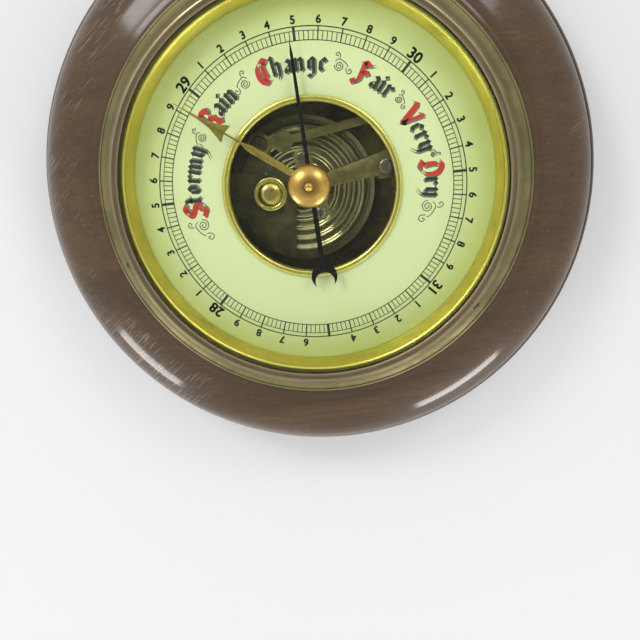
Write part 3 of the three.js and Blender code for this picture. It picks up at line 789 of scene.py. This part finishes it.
SMALL = {   # width, strokes
    "a": (2.7, [[(0.2, 2.75), (0.7, 3.3), (1.45, 2.8), (1.45, 0.7), (1.8, 0.3)],
                [(1.35, 1.95), (0.3, 1.5), (0.15, 0.85), (0.55, 0.3), (1.35, 0.85)]]),
    "e": (2.3, [[(0.8, 3.3), (0.1, 2.7), (0.1, 0.8), (0.65, 0.3), (1.45, 0.85)],
                [(0.7, 3.3), (1.4, 2.6), (0.3, 1.65)]]),
    "g": (2.6, [[(0.9, 3.3), (0.1, 2.8), (0.1, 1.1), (0.5, 0.7), (1.3, 1.3)],
                [(0.6, 3.3), (1.4, 2.8), (1.4, -0.6), (0.8, -1.3), (0.0, -0.9)]]),
    "h": (2.8, [[(-0.3, 5.0), (0, 4.6), (0, 0.7), (0.3, 0.3)],
                [(0.2, 2.65), (0.9, 3.3), (1.5, 2.8), (1.5, 0.5), (1.0, -0.7)]]),
    "i": (1.6, [MINIM, [(-0.15, 4.6), (0.2, 4.2)]]),
    "m": (4.3, [MINIM, arch(1.5), arch(3.0)]),
    "n": (2.8, [MINIM, arch(1.5)]),
    "o": (2.5, [[(0.85, 3.3), (0.1, 2.7), (0.1, 0.9), (0.65, 0.3)],
                [(0.6, 3.3), (1.4, 2.7), (1.4, 0.9), (0.75, 0.3)]]),
    "r": (2.3, [MINIM, [(0.2, 2.7), (0.8, 3.3), (1.3, 2.8)]]),
    "t": (2.0, [[(-0.2, 4.4), (0.1, 4.0), (0.1, 0.8), (0.55, 0.3), (1.0, 0.65)],
                [(-0.5, 2.95), (1.0, 3.15)]]),
    "y": (2.7, [[(-0.3, 3.3), (0, 2.9), (0, 0.9), (0.6, 0.3), (1.4, 0.9)],
                [(1.1, 3.3), (1.45, 2.9), (1.45, -0.3), (0.9, -1.2), (0.0, -1.7)]]),
}
CAPITALS = {
    "C": (4.6, [[(3.5, 4.2), (2.3, 5.1), (0.9, 4.2), (0.4, 2.3), (0.9, 0.3), (2.3, -0.7), (3.6, 0.3)],
                [(2.3, 4.2), (2.1, 2.2), (2.3, 0.4)]]),
    "D": (4.9, [[(1.1, 4.0), (0.9, 2.3), (1.1, 0.5)],
                [(-0.3, 4.2), (1.2, 5.1), (3.0, 4.3), (3.7, 2.3), (3.0, 0.2), (1.4, -0.7), (-0.1, 0.2)]]),
    "F": (4.3, [[(1.2, 4.8), (1.3, 2.2), (1.2, 0.2), (0.4, -0.7), (-0.4, 0.0)],
                [(-0.2, 4.2), (1.2, 5.1), (2.5, 4.5), (3.7, 5.0)], [(1.2, 2.4), (2.3, 2.8), (3.0, 2.2)]]),
    "R": (4.9, [[(0.9, 4.7), (1.0, 2.2), (0.8, 0.0), (-0.2, -0.5)],
                [(-0.3, 4.0), (1.2, 5.1), (3.1, 4.6), (3.2, 3.1), (1.7, 2.4)],
                [(1.9, 2.4), (3.0, 1.6), (3.0, 0.2), (3.9, -0.7)]]),
    "S": (4.7, [[(3.7, 4.2), (2.4, 5.1), (0.9, 4.5), (0.8, 3.2), (2.2, 2.4), (3.5, 1.6), (3.3, 0.0),
                 (1.8, -0.8), (0.0, 0.1)],
                [(2.2, 4.4), (2.0, 3.4)], [(2.2, 1.3), (2.0, 0.0)]]),
    "V": (4.7, [[(-0.7, 4.5), (0.3, 5.1), (0.8, 4.3), (1.5, 1.8), (2.2, -0.8)],
                [(2.2, -0.8), (2.9, 1.6), (3.8, 4.5)], [(2.9, 4.4), (3.8, 4.6), (4.6, 5.2)]]),
}
# word, with the clock angle of each letter's middle
WORDS = [
    ("Stormy", (-95.0, -89.3, -84.6, -79.3, -73.3, -66.2)),
    ("Rain", (-50.3, -43.6, -39.3, -35.3)),
    ("Change", (-16.6, -9.9, -4.6, 0.8, 6.6, 11.8)),
    ("Fair", (31.0, 37.8, 42.0, 45.6)),
    ("Very", (60.6, 67.0, 71.8, 76.7)),
    ("Dry", (87.0, 93.4, 98.6)),
]
# ornaments: middle angle, distance, turn, size, mirrored
SCROLLS = [
    (-102.5, 34.6, 0, 1.0, False), (-59.3, 35.5, 0, 0.75, False), (-26.5, 35.4, 0, 0.8, False),
    (19.5, 35.4, 0, 0.8, True),
    (51.6, 35.6, 0, 0.6, True), (81.2, 36.8, 10, 0.45, False), (105.5, 34.6, 0, 1.0, True),
]


def pen_strokes(strokes, nib, angle, rounded):
    """Draws strokes in the mesh in edit mode: a slanted nib edge pulled along each line."""
    edge = (nib * math.cos(math.radians(angle)), nib * math.sin(math.radians(angle)), 0)
    for stroke in strokes:
        line = flowing(stroke, 4) if rounded else stroke
        point(line[0][0] - edge[0] / 2, line[0][1] - edge[1] / 2, 0)
        draw_on([edge])
        bpy.ops.mesh.select_linked()
        for (x0, y0), (x1, y1) in zip(line, line[1:]):
            move = Vector((x1 - x0, y1 - y0, 0)) * MM
            bpy.ops.mesh.extrude_region_move(TRANSFORM_OT_translate={"value": move})


def thickened(obj, depth):
    """Gives flat pen work its film of ink: every facet its own closed slab."""
    only(obj)
    bpy.ops.object.mode_set(mode="EDIT")
    bpy.ops.mesh.select_all(action="SELECT")
    bpy.ops.mesh.edge_split(type="EDGE")
    bpy.ops.mesh.extrude_region_move(TRANSFORM_OT_translate={"value": (0, 0, depth * MM)})
    bpy.ops.mesh.select_all(action="SELECT")
    bpy.ops.mesh.normals_make_consistent(inside=False)
    return settle(obj)


def glyph(name, strokes, nib, rounded=False, angles=(40.0,)):
    """One letter or ornament, flat, with its middle at the origin across and its foot line at y = 0."""
    obj = point(50, 50, 0, name)             # a start well clear of the strokes
    for angle in angles:
        pen_strokes(strokes, nib, angle, rounded)
    bpy.ops.mesh.select_all(action="DESELECT")
    bpy.ops.object.mode_set(mode="OBJECT")
    obj.data.vertices[0].select = True       # the vertex that started the mesh
    bpy.ops.object.mode_set(mode="EDIT")
    bpy.ops.mesh.delete(type="VERT")
    return thickened(obj, 0.02)


def at_clock(degrees, distance, height, turn=0.0):
    """The place of a mark on the dial, its top outwards."""
    a = math.radians(degrees)
    spot = Vector((DIAL_AT[0] + distance * math.sin(a), DIAL_AT[1] + distance * math.cos(a), height)) * MM
    return Matrix.Translation(spot) @ Matrix.Rotation(-a + math.radians(turn), 4, "Z")


def scroll_strokes(size, mirrored):
    """A pen flourish: a spiral, a tail wrapped round it that ends in a curl, and a small curl above."""
    sideways = -size if mirrored else size
    spiral = [((0.25 + 0.06 * k) * math.cos(0.5 * k),
               (0.25 + 0.06 * k) * math.sin(0.5 * k)) for k in range(26)]
    tail = [(1.6, 1.3), (0.6, 2.4), (-1.0, 2.0), (-2.5, 1.2), (-3.1, 0.3)]
    end_curl = [(-2.6, -0.1), (-3.0, -1.6), (-4.2, -1.9), (-4.7, -0.8), (-3.9, -0.2), (-3.6, -1.1)]
    top_curl = [(0.3, 2.9), (0.4, 3.9), (1.2, 4.5), (2.0, 3.9), (1.5, 3.3), (1.0, 3.7)]
    return [[(sideways * x, size * y) for x, y in line] for line in (spiral, tail, end_curl, top_curl)]


def lettering():
    """The weather words and their flourishes: red capitals, black letters, grey shading."""
    nib = settings("dial").nib / MM
    letters = {}
    for key, (width, strokes) in SMALL.items():
        middle = (width - 0.9) / 2
        letters[key] = glyph("letter_" + key, [[(x - middle, y) for x, y in s] for s in strokes], nib)
    for key, (width, strokes) in CAPITALS.items():
        middle = (width - 0.9) / 2
        letters[key] = glyph("capital_" + key, [[(x - middle, y) for x, y in s] for s in strokes],
                             nib * 1.4, True)
    black, red, grey, curls = [], [], [], []
    for word, angles in WORDS:
        for key, angle in zip(word, angles):
            capital = key in CAPITALS
            size = Matrix.Diagonal((1.1, 1.12, 1, 1))
            height = DIAL_TOP + (0.004 if capital else 0.002)
            mark = copy_of(letters[key], "mark", at_clock(angle, WORDS_OUT, height) @ size)
            (red if capital else black).append(mark)
            aside = Matrix.Translation(Vector((0.5, -0.42, 0)) * MM)
            shade = at_clock(angle, WORDS_OUT, INK_FOOT) @ aside @ size
            grey.append(copy_of(letters[key], "mark", shade))
    for angle, distance, turn, size, mirrored in SCROLLS:
        flourish = glyph("flourish", scroll_strokes(size, mirrored), 0.3, True, (0.0, 90.0))
        curls.append(copy_of(flourish, "mark", at_clock(angle, distance, INK_FOOT + 0.004, turn)))
        letters[str(angle)] = flourish
    for obj in letters.values():
        bpy.data.objects.remove(obj)
    done(joined("Dial_Letters", black), "Black Ink", like="dial", smooth=0)
    done(joined("Dial_Capitals", red), "Red Ink", like="dial", smooth=0)
    done(joined("Dial_Letter_Shading", grey), "Grey Ink", like="dial", smooth=0)
    done(joined("Dial_Flourishes", curls), "Dark Grey Ink", like="dial", smooth=0)


def printed_ring(radius, width):
    inner, outer = radius - width / 2, radius + width / 2
    top = DIAL_TOP + 0.028
    outline = [(inner, INK_FOOT), (outer, INK_FOOT), (outer, top), (inner, top)]
    return turned("ring", outline, DIAL_AT, 240)


def tick_fan(count, inner, outer, width, height):
    """One tick, spun round into count copies."""
    clear()
    spot = Vector((DIAL_AT[0], DIAL_AT[1] + (inner + outer) / 2, (INK_FOOT + height) / 2)) * MM
    bpy.ops.mesh.primitive_cube_add(size=1, location=spot)
    obj = bpy.context.view_layer.objects.active
    obj.scale = Vector((width, outer - inner, height - INK_FOOT)) * MM
    settle(obj)
    softened(obj, 0.004 * MM, 1, 60)
    edit(obj)
    bpy.ops.mesh.select_all(action="SELECT")
    bpy.ops.mesh.spin(steps=count, dupli=True, angle=2 * math.pi,
                      center=(DIAL_AT[0] * MM, DIAL_AT[1] * MM, 0), axis=(0, 0, 1))
    bpy.ops.mesh.select_all(action="SELECT")
    bpy.ops.mesh.remove_doubles(threshold=1e-7)
    bpy.ops.mesh.normals_make_consistent(inside=False)
    return settle(obj)


def figure(text, high, clock, foot, weight):
    """A printed figure of that height, its foot at a distance from the dial's middle.

    It is made bold by printing it over itself."""
    clear()
    bpy.ops.object.text_add(location=(0, 0, 0))
    obj = bpy.context.view_layer.objects.active
    obj.data.body, obj.data.size, obj.data.resolution_u, obj.data.extrude = text, 1.0, 4, 0.008
    bpy.ops.object.convert(target="MESH")
    obj = bpy.context.view_layer.objects.active
    tall = [v.co.y for v in obj.data.vertices]
    wide = [v.co.x for v in obj.data.vertices]
    scale = (high - 2 * weight) * MM / (max(tall) - min(tall))
    middle = Matrix.Translation((-(max(wide) + min(wide)) / 2, -min(tall), 0))
    obj.data.transform(Matrix.Diagonal((scale, scale, MM, 1)) @ middle)
    edit(obj)
    bpy.ops.mesh.select_all(action="SELECT")
    bpy.ops.mesh.remove_doubles(threshold=1e-7)
    bpy.ops.mesh.normals_make_consistent(inside=False)
    settle(obj)
    prints = []
    for x, y in ((-1, -0.7), (1, -0.7), (-1, 0.7), (1, 0.7), (0, 1), (0, -1)):
        shift = Matrix.Translation((x * weight * MM, y * weight * MM, 0))
        prints.append(copy_of(obj, "figure", at_clock(clock, foot + weight, DIAL_TOP + 0.012) @ shift))
    bpy.data.objects.remove(obj)
    return joined("figure", prints)


# ---------------------------------------------------------------- operators
class BAROMETER_OT_effects(bpy.types.Operator):
    """Wires the shared effects: edge wear, scratches, tarnish, lathe rings, wood grain and dust."""
    bl_idname = "barometer.effects"
    bl_label = "Shared Effects"
    bl_options = {"REGISTER", "UNDO"}

    def execute(self, context):
        for make in (edge_wear_group, scratches_group, tarnish_group, lathe_group, grain_group, dust_group):
            make()
        return {"FINISHED"}


class BAROMETER_OT_wood(bpy.types.Operator):
    """Turns the wooden frame and sinks the hanger's pocket in its back."""
    bl_idname = "barometer.wood"
    bl_label = "Wooden Frame"
    bl_options = {"REGISTER", "UNDO"}

    def execute(self, context):
        foot = flowing([(84.6, 0.0), (86.2, 1.4), (87.2, 5), (87.4, 9), (87.0, 12.4), (86.1, 14.1)])
        shoulder = flowing([(85.4, 14.3), (85.1, 16.4), (84, 19.4), (82, 22.2), (79, 24.6), (75, 26.6),
                            (70.5, 28.2), (66.6, 29.1)])
        edge = settings("wood").seat_edge / MM
        seat = [(66.0, 29.4), (60.6 + edge, 29.4), (60.6, 29.4 - edge), (60.6, 27.8), (53.5 + edge, 27.8),
                (53.5, 27.8 - edge),
                (53.5, edge), (53.5 + edge, 0.0)]
        frame_ring = turned("Wood_Frame", foot + shoulder + seat)
        cut(frame_ring, block((-13.3, 13.3), (61.2, 74.8), (-2, 1.8)))
        cut(frame_ring, block((-4.8, 4.8), (62, 74), (-2, 7.6)))
        drilled(frame_ring, [(-9.8, 68, 0.9, 0, 10), (9.8, 68, 0.9, 0, 10)])
        done(frame_ring, "Stained Wood", "wood_frame", smooth=32)
        return {"FINISHED"}


class BAROMETER_OT_bezel(bpy.types.Operator):
    """Turns the brass bezel, bores it for its pins and adds the pins."""
    bl_idname = "barometer.bezel"
    bl_label = "Bezel"
    bl_options = {"REGISTER", "UNDO"}

    def execute(self, context):
        bead = flowing([(64.7, 29.7), (64.8, 30.1), (64.5, 30.75), (64.05, 31.0)], 4)
        cove = flowing([(63.8, 30.85), (63.1, 31.25), (62.1, 32.1), (61.1, 33.6), (60.4, 35.4),
                        (59.9, 37.2)], 6)
        lip = flowing([(59.65, 37.9), (59.1, 38.4), (58.3, 38.6), (57.4, 38.45), (56.8, 38.2)], 4)
        ring = turned("Bezel", [(58.4, 29.7)] + bead + cove + lip + [(56.8, 38.0), (58.4, 38.0)], BEZEL_AT)
        boxes = [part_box(f"bezel_pin_{i}") for i in (1, 2, 3)]
        spots = [(low + high) / 2 / MM for low, high in boxes]
        drilled(ring, [(p.x, p.y, 1.05, 29.0, 39.0) for p in spots])
        done(ring, ["Bezel Brass", "Bezel Lip Brass"], "bezel", smooth=30)
        for face in ring.data.polygons:
            across = math.hypot(face.center.x - BEZEL_AT[0] * MM, face.center.y - BEZEL_AT[1] * MM)
            face.material_index = int(across < 58.9 * MM and face.center.z > 37.2 * MM)
        pin = turned("pin", [(0, 29.8), (0.8, 29.8), (0.8, 34.1), (0.65, 34.4), (0.3, 34.6), (0, 34.6)],
                     sides=32)
        for i, p in enumerate(spots):
            each = copy_of(pin, f"Bezel_Pin_{i + 1}", Matrix.Translation((p.x * MM, p.y * MM, 0)))
            done(each, "Spring Steel", f"bezel_pin_{i + 1}")
        bpy.data.objects.remove(pin)
        return {"FINISHED"}


class BAROMETER_OT_glass(bpy.types.Operator):
    """Cuts the flat glass with its bevelled edge and knob hole, and turns the sight ring under it."""
    bl_idname = "barometer.glass"
    bl_label = "Glass and Sight Ring"
    bl_options = {"REGISTER", "UNDO"}

    def execute(self, context):
        pane = turned("Glass", [(2.2, 36.0), (2.3, 35.9), (57.6, 35.9), (57.7, 36.0), (57.7, 37.3),
                                (55.9, 37.88), (55.7, 37.9), (2.3, 37.9), (2.2, 37.8)])
        done(pane, ["Clear Glass", "Glass Edge"], "glass", smooth=15)
        for face in pane.data.polygons:
            if math.hypot(face.center.x, face.center.y) > 55.65 * MM:
                face.material_index = 1
        bowl = flowing([(53.25, 31.0), (53.8, 32.4), (54.8, 34.2), (55.3, 34.9), (55.9, 35.25),
                        (56.5, 35.15), (56.8, 34.6)], 5)
        ring = turned("Sight_Ring", [(53.25, 30.3), *bowl, (56.85, 33.4), (57.0, 33.2), (57.7, 33.2),
                                     (57.9, 33.0), (57.9, 30.3)], BEZEL_AT)
        done(ring, "Gilt Brass", "sight_ring", smooth=40)
        return {"FINISHED"}


class BAROMETER_OT_dial(bpy.types.Operator):
    """Cuts the open dial plate and turns the raised rim of its opening."""
    bl_idname = "barometer.dial"
    bl_label = "Dial"
    bl_options = {"REGISTER", "UNDO"}

    def execute(self, context):
        plate = turned("Dial_Plate", [(25.7, 29.25), (25.75, 29.2), (55.55, 29.2), (55.6, 29.25),
                                      (55.6, 29.95), (55.55, 30.0), (25.75, 30.0), (25.7, 29.95)], DIAL_AT)
        done(plate, "Dial Face", "dial")
        crown = flowing([(25.3, 30.3), (26.6, 30.3), (26.55, 30.65), (26.2, 30.92), (25.6, 31.0),
                         (25.05, 30.85), (24.75, 30.5)], 4)
        rim = turned("Dial_Rim", [(24.7, 28.65), (24.75, 28.6), (25.25, 28.6), (25.3, 28.65)] + crown,
                     DIAL_AT)
        done(rim, "Dial Rim Brass", "dial_rim", smooth=45)
        return {"FINISHED"}


class BAROMETER_OT_scale(bpy.types.Operator):
    """Prints the scale: three circles, the ticks and the figures from 27.5 to 31.5 inches."""
    bl_idname = "barometer.scale"
    bl_label = "Scale"
    bl_options = {"REGISTER", "UNDO"}

    def execute(self, context):
        inner, middle, outer = SCALE_CIRCLES
        rings = [printed_ring(outer, 0.32), printed_ring(middle, 0.2), printed_ring(inner, 0.26)]
        marks = [
            tick_fan(200, inner, middle, 0.24, DIAL_TOP + 0.012),
            tick_fan(40, inner, outer, 0.38, DIAL_TOP + 0.016),
            tick_fan(8, inner, outer, 0.8, DIAL_TOP + 0.02),
        ]
        done(joined("Dial_Scale", rings + marks), "Black Ink", like="dial", smooth=0)
        dial = settings("dial")
        figures = []
        for tenth in range(1, 40):      # the lowest tenth, at six o'clock, has no figure
            value = 275 + tenth
            clock = 180 + 9 * tenth
            if value % 10 == 0:
                figures.append(figure(str(value // 10), dial.large_digit / MM, clock, 45.9, 0.13))
            else:
                figures.append(figure(str(value % 10), dial.small_digit / MM, clock, 46.2, 0.1))
        done(joined("Dial_Figures", figures), "Black Ink", like="dial", smooth=0)
        return {"FINISHED"}


class BAROMETER_OT_words(bpy.types.Operator):
    """Draws the weather words and flourishes with a broad pen."""
    bl_idname = "barometer.words"
    bl_label = "Weather Words"
    bl_options = {"REGISTER", "UNDO"}

    def execute(self, context):
        lettering()
        return {"FINISHED"}


class BAROMETER_OT_hands(bpy.types.Operator):
    """Finishes the pointer and the set hand, and turns the knob and its washer."""
    bl_idname = "barometer.hands"
    bl_label = "Hands and Knob"
    bl_options = {"REGISTER", "UNDO"}

    def execute(self, context):
        done(refined("Pointer", "indicator_hand", 0.1 * MM), "Blued Steel", "indicator_hand")
        done(refined("Set_Hand", "set_hand", 0.1 * MM), "Set Hand Brass", "set_hand")
        dome = flowing([(6.0, 44.2), (5.85, 45.1), (5.4, 45.85), (4.5, 46.5), (3.2, 47.05), (1.9, 47.35),
                        (1.15, 47.4), (0.75, 47.2), (0.35, 46.95), (0.0, 46.85)], 4)
        waist = flowing([(3.6, 39.0), (3.6, 40.0), (4.2, 40.35), (5.4, 40.6), (5.9, 41.1), (6.0, 41.8)], 4)
        knob = turned("Set_Knob", [(0, 34.5), (1.5, 34.5), (1.6, 34.6), (1.6, 39)] + waist + dome, sides=96)
        done(knob, "Knob Brass", "set_knob", smooth=50)
        washer = turned("Set_Washer", [(1.9, 38.25), (1.95, 38.2), (4.5, 38.2), (4.6, 38.3), (4.6, 38.6),
                                       (4.5, 38.7), (1.95, 38.7), (1.9, 38.65)], sides=96)
        done(washer, "Knob Brass", "set_washer")
        return {"FINISHED"}


def slotted_screw(name, head, head_z, head_h, shank, tip, turn, up=1):
    """A round-head screw at the origin, its slot cut across the top."""
    top = head_z + up * head_h
    crown = flowing([(head, head_z + up * 0.1), (head, top - up * head_h * 0.45),
                     (head * 0.93, top - up * head_h * 0.2),
                     (head * 0.78, top - up * 0.05), (head * 0.5, top), (0, top)], 3)
    obj = turned(name, [(0, tip), (shank * 0.8, tip), (shank, tip + up * 0.2), (shank, head_z),
                        (head - 0.1, head_z)] + crown, sides=48)
    slot_low, slot_high = sorted((top - up * head_h * 0.5, top + up * 1))
    cut(obj, block((-head * 1.2, head * 1.2), (-head * 0.13, head * 0.13), (slot_low, slot_high), turn))
    return obj


SCREWS = [   # node, head radius, head foot, head height, shank radius, tip, slot turn, up or down, finish
    ("lever_screw", 2.6, 19.9, 1.5, 1.2, 16.6, -40, 1, "Spring Steel"),
    ("bridge_post_screw", 2.3, 24.7, 1.4, 1.0, 17.6, 75, 1, "Bright Steel"),
    ("bridge_screw_1", 1.6, 25.1, 1.0, 0.6, 20.6, 30, 1, "Bright Steel"),
    ("bridge_screw_2", 1.6, 25.1, 1.0, 0.6, 20.6, 80, 1, "Bright Steel"),
    ("adjusting_screw", 2.8, 1.8, 1.3, 1.8, 5.1, 65, -1, "Bright Steel"),
]


class BAROMETER_OT_movement(bpy.types.Operator):
    """Turns the capsule's corrugated skin, the nut and the screws, and finishes the other works."""
    bl_idname = "barometer.movement"
    bl_label = "Movement"
    bl_options = {"REGISTER", "UNDO"}

    def execute(self, context):
        waves = []
        first, apart, depth = 4.1, 3.0, 0.4      # the corrugations' start, spacing and half depth
        for i in range(66, -1, -1):
            out = first + i * 0.25
            waves.append((out, 15.2 - depth * (1 - math.cos(2 * math.pi * (out - first) / apart))))
        skin = ([(0, 13.7), (20.8, 13.7), (21.4, 11.75), (22.5, 11.75), (22.5, 12.25),
                 (20.9, 12.45)] + waves
                + [(3.2, 15.6), (1.7, 15.6), (1.6, 15.7), (1.6, 18.8), (1.5, 18.9), (0, 18.9)])
        done(turned("Capsule_Skin", skin, CAPSULE_AT, 144), "Capsule Skin", "capsule_top", smooth=50)
        done(refined("Capsule_Base", "capsule_bottom"), "Capsule Skin", "capsule_bottom", smooth=50)
        cap = flowing([(3.8, 20.3), (3.5, 20.7), (2.9, 21.1), (2.0, 21.45), (1.0, 21.57), (0, 21.6)], 4)
        brim = flowing([(5.3, 18.5), (5.45, 18.9), (5.45, 19.6), (5.3, 20.15), (4.85, 20.45),
                        (4.2, 20.55)], 4)
        nut = turned("Spring_Nut", [(0, 16.8), (1.3, 16.8), (1.4, 16.9), (1.4, 18.5),
                                    (5.1, 18.5)] + brim + [(4.0, 20.4), (3.85, 20.25)] + cap,
                     NUT_AT, 72)
        done(nut, "Nut Brass", "spring_nut", smooth=45)
        plate_edge = settings("metal").edge
        fine_edge = 0.05 * MM
        for finish, width, smooth, nodes in (
                ("Spring Steel", plate_edge, 35, ("main_spring",)),
                ("Pan Brass", plate_edge, 35, ("base_plate",)),
                ("Works Brass", plate_edge, 35, (
                    "main_lever", "arbor_bridge", "lower_cock", "rocker_bracket", "spring_foot",
                    "bridge_post", "cock_pillar_1", "cock_pillar_2")),
                ("Bright Steel", fine_edge, 35, ("rocker", "link")),
                ("Blued Steel", 0, 40, ("hairspring",)),
                ("Works Brass", 0, 40, ("hairspring_stud",)),
                ("Bright Steel", 0, 40, (
                    "spring_pin", "arbor", "chain", "spring_screw_1", "spring_screw_2", "bracket_screw_1",
                    "bracket_screw_2"))):
            for node in nodes:
                done(refined(titled(node), node, width), finish, node, smooth=smooth)
        for node, head, foot, high, shank, tip, turn, up, finish in SCREWS:
            lo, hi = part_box(node)
            screw = slotted_screw("screw", head, foot, high, shank, tip, turn, up)
            screw.data.transform(Matrix.Translation(((lo.x + hi.x) / 2, (lo.y + hi.y) / 2, 0)))
            screw.name = screw.data.name = titled(node)
            done(screw, finish, node, smooth=40)
        return {"FINISHED"}


class BAROMETER_OT_case(bpy.types.Operator):
    """Finishes the pan, its posts and screws, and the hanger plate in the back."""
    bl_idname = "barometer.case"
    bl_label = "Pan and Hanger"
    bl_options = {"REGISTER", "UNDO"}

    def execute(self, context):
        done(refined("Movement_Pan", "movement_pan", 0.2 * MM), "Pan Brass", "movement_pan")
        done(refined("Hanger_Plate", "hanger_plate", 0.15 * MM), "Works Brass", "hanger_plate")
        for stem, count in (("dial_post", 3), ("post_screw", 3), ("pan_screw", 3), ("hanger_screw", 2)):
            for i in range(1, count + 1):
                node = f"{stem}_{i}"
                done(refined(titled(node), node, 0.08 * MM), "Works Brass", node, smooth=40)
        return {"FINISHED"}


def softbox(name, spot, aim, size, power):
    """A soft area light."""
    clear()
    bpy.ops.object.light_add(type="AREA", location=spot)
    lamp = bpy.context.view_layer.objects.active
    lamp.name = lamp.data.name = name
    lamp.rotation_euler = (Vector(aim) - Vector(spot)).to_track_quat("-Z", "Y").to_euler()
    lamp.data.shape, lamp.data.size, lamp.data.size_y = "RECTANGLE", size[0], size[1]
    lamp.data.energy = power * settings("stage").windows
    lamp.visible_camera = False
    return lamp


class BAROMETER_OT_stage(bpy.types.Operator):
    """Lays the pale floor, sets the room light and softboxes and places the camera."""
    bl_idname = "barometer.stage"
    bl_label = "Stage"
    bl_options = {"REGISTER", "UNDO"}

    def execute(self, context):
        clear()
        bpy.ops.mesh.primitive_plane_add(size=8, location=(0, 0, -0.0002))
        floor = bpy.context.view_layer.objects.active
        floor.name = floor.data.name = "Floor"
        settle(floor)
        floor.data.materials.append(made("Pale Floor"))
        context.scene.view_settings.view_transform = "Standard"
        world = bpy.data.worlds.new("Room")
        context.scene.world = world
        world.use_nodes = True
        back = world.node_tree.nodes["Background"]
        tree = world.node_tree
        up = add(tree, "SeparateXYZ",
                 Vector=tree.nodes.new("ShaderNodeTexCoord").outputs["Generated"]).outputs[2]
        horizon, zenith = (0.97, 0.97, 0.97, 1.0), (0.16, 0.16, 0.16, 1.0)
        wire(tree, back.inputs["Color"], blend(tree, fit(tree, up, 0.76, 0.94), horizon, zenith))
        back.inputs["Strength"].default_value = settings("stage").glow
        softbox("Softbox_Left", (-0.66, -0.56, 0.19), (-0.06, -0.05, 0.02), (0.26, 0.2), 2.3)
        softbox("Softbox_Right", (0.38, -0.80, 0.19), (0.04, -0.06, 0.02), (0.34, 0.18), 3.2)
        softbox("Softbox_Back_Left", (-0.5, 0.62, 0.7), (0, 0, 0.02), (0.3, 0.3), 3.4)
        softbox("Softbox_Back_Right", (0.55, 0.6, 0.7), (0, 0, 0.02), (0.3, 0.3), 1.8)
        clear()
        turn = tuple(math.radians(angle) for angle in CAMERA_TURN)
        bpy.ops.object.camera_add(location=Vector(CAMERA_AT) * MM, rotation=turn)
        camera = bpy.context.view_layer.objects.active
        camera.name = camera.data.name = "Camera"
        camera.data.sensor_width = 36
        camera.data.lens = settings("stage").lens
        camera.data.clip_start = 0.005
        context.scene.camera = camera
        clear()
        return {"FINISHED"}


class BAROMETER_PT_panel(bpy.types.Panel):
    """Sidebar with the settings and the build steps."""
    bl_idname = "BAROMETER_PT_panel"
    bl_label = "Aneroid Barometer"
    bl_space_type = "VIEW_3D"
    bl_region_type = "UI"
    bl_category = "Barometer"

    def draw(self, context):
        for title, group_name in (("Wood", "wood"), ("Metals", "metal"), ("Dial", "dial"),
                                  ("Stage", "stage")):
            box = self.layout.box()
            box.label(text=title)
            group_now = getattr(context.scene, "barometer_" + group_name)
            for key in group_now.__annotations__:
                box.prop(group_now, key)
        for step in STEPS:
            self.layout.operator(step.bl_idname)


SETTINGS = {"wood": WoodSettings, "metal": MetalSettings, "dial": DialSettings, "stage": StageSettings}
STEPS = (BAROMETER_OT_effects, BAROMETER_OT_wood, BAROMETER_OT_bezel, BAROMETER_OT_glass, BAROMETER_OT_dial,
         BAROMETER_OT_scale, BAROMETER_OT_words, BAROMETER_OT_hands, BAROMETER_OT_movement,
         BAROMETER_OT_case,
         BAROMETER_OT_stage)


def register():
    for each in (*SETTINGS.values(), *STEPS, BAROMETER_PT_panel):
        bpy.utils.register_class(each)
    for name, kind in SETTINGS.items():
        setattr(bpy.types.Scene, "barometer_" + name, bpy.props.PointerProperty(type=kind))


def unregister():
    for name in SETTINGS:
        delattr(bpy.types.Scene, "barometer_" + name)
    for each in reversed((*SETTINGS.values(), *STEPS, BAROMETER_PT_panel)):
        bpy.utils.unregister_class(each)


def main():
    """Builds everything in order."""
    register()
    clear()
    for step in STEPS:
        group_name, action = step.bl_idname.split(".")
        getattr(getattr(bpy.ops, group_name), action)()


if __name__ == "__main__":
    main()
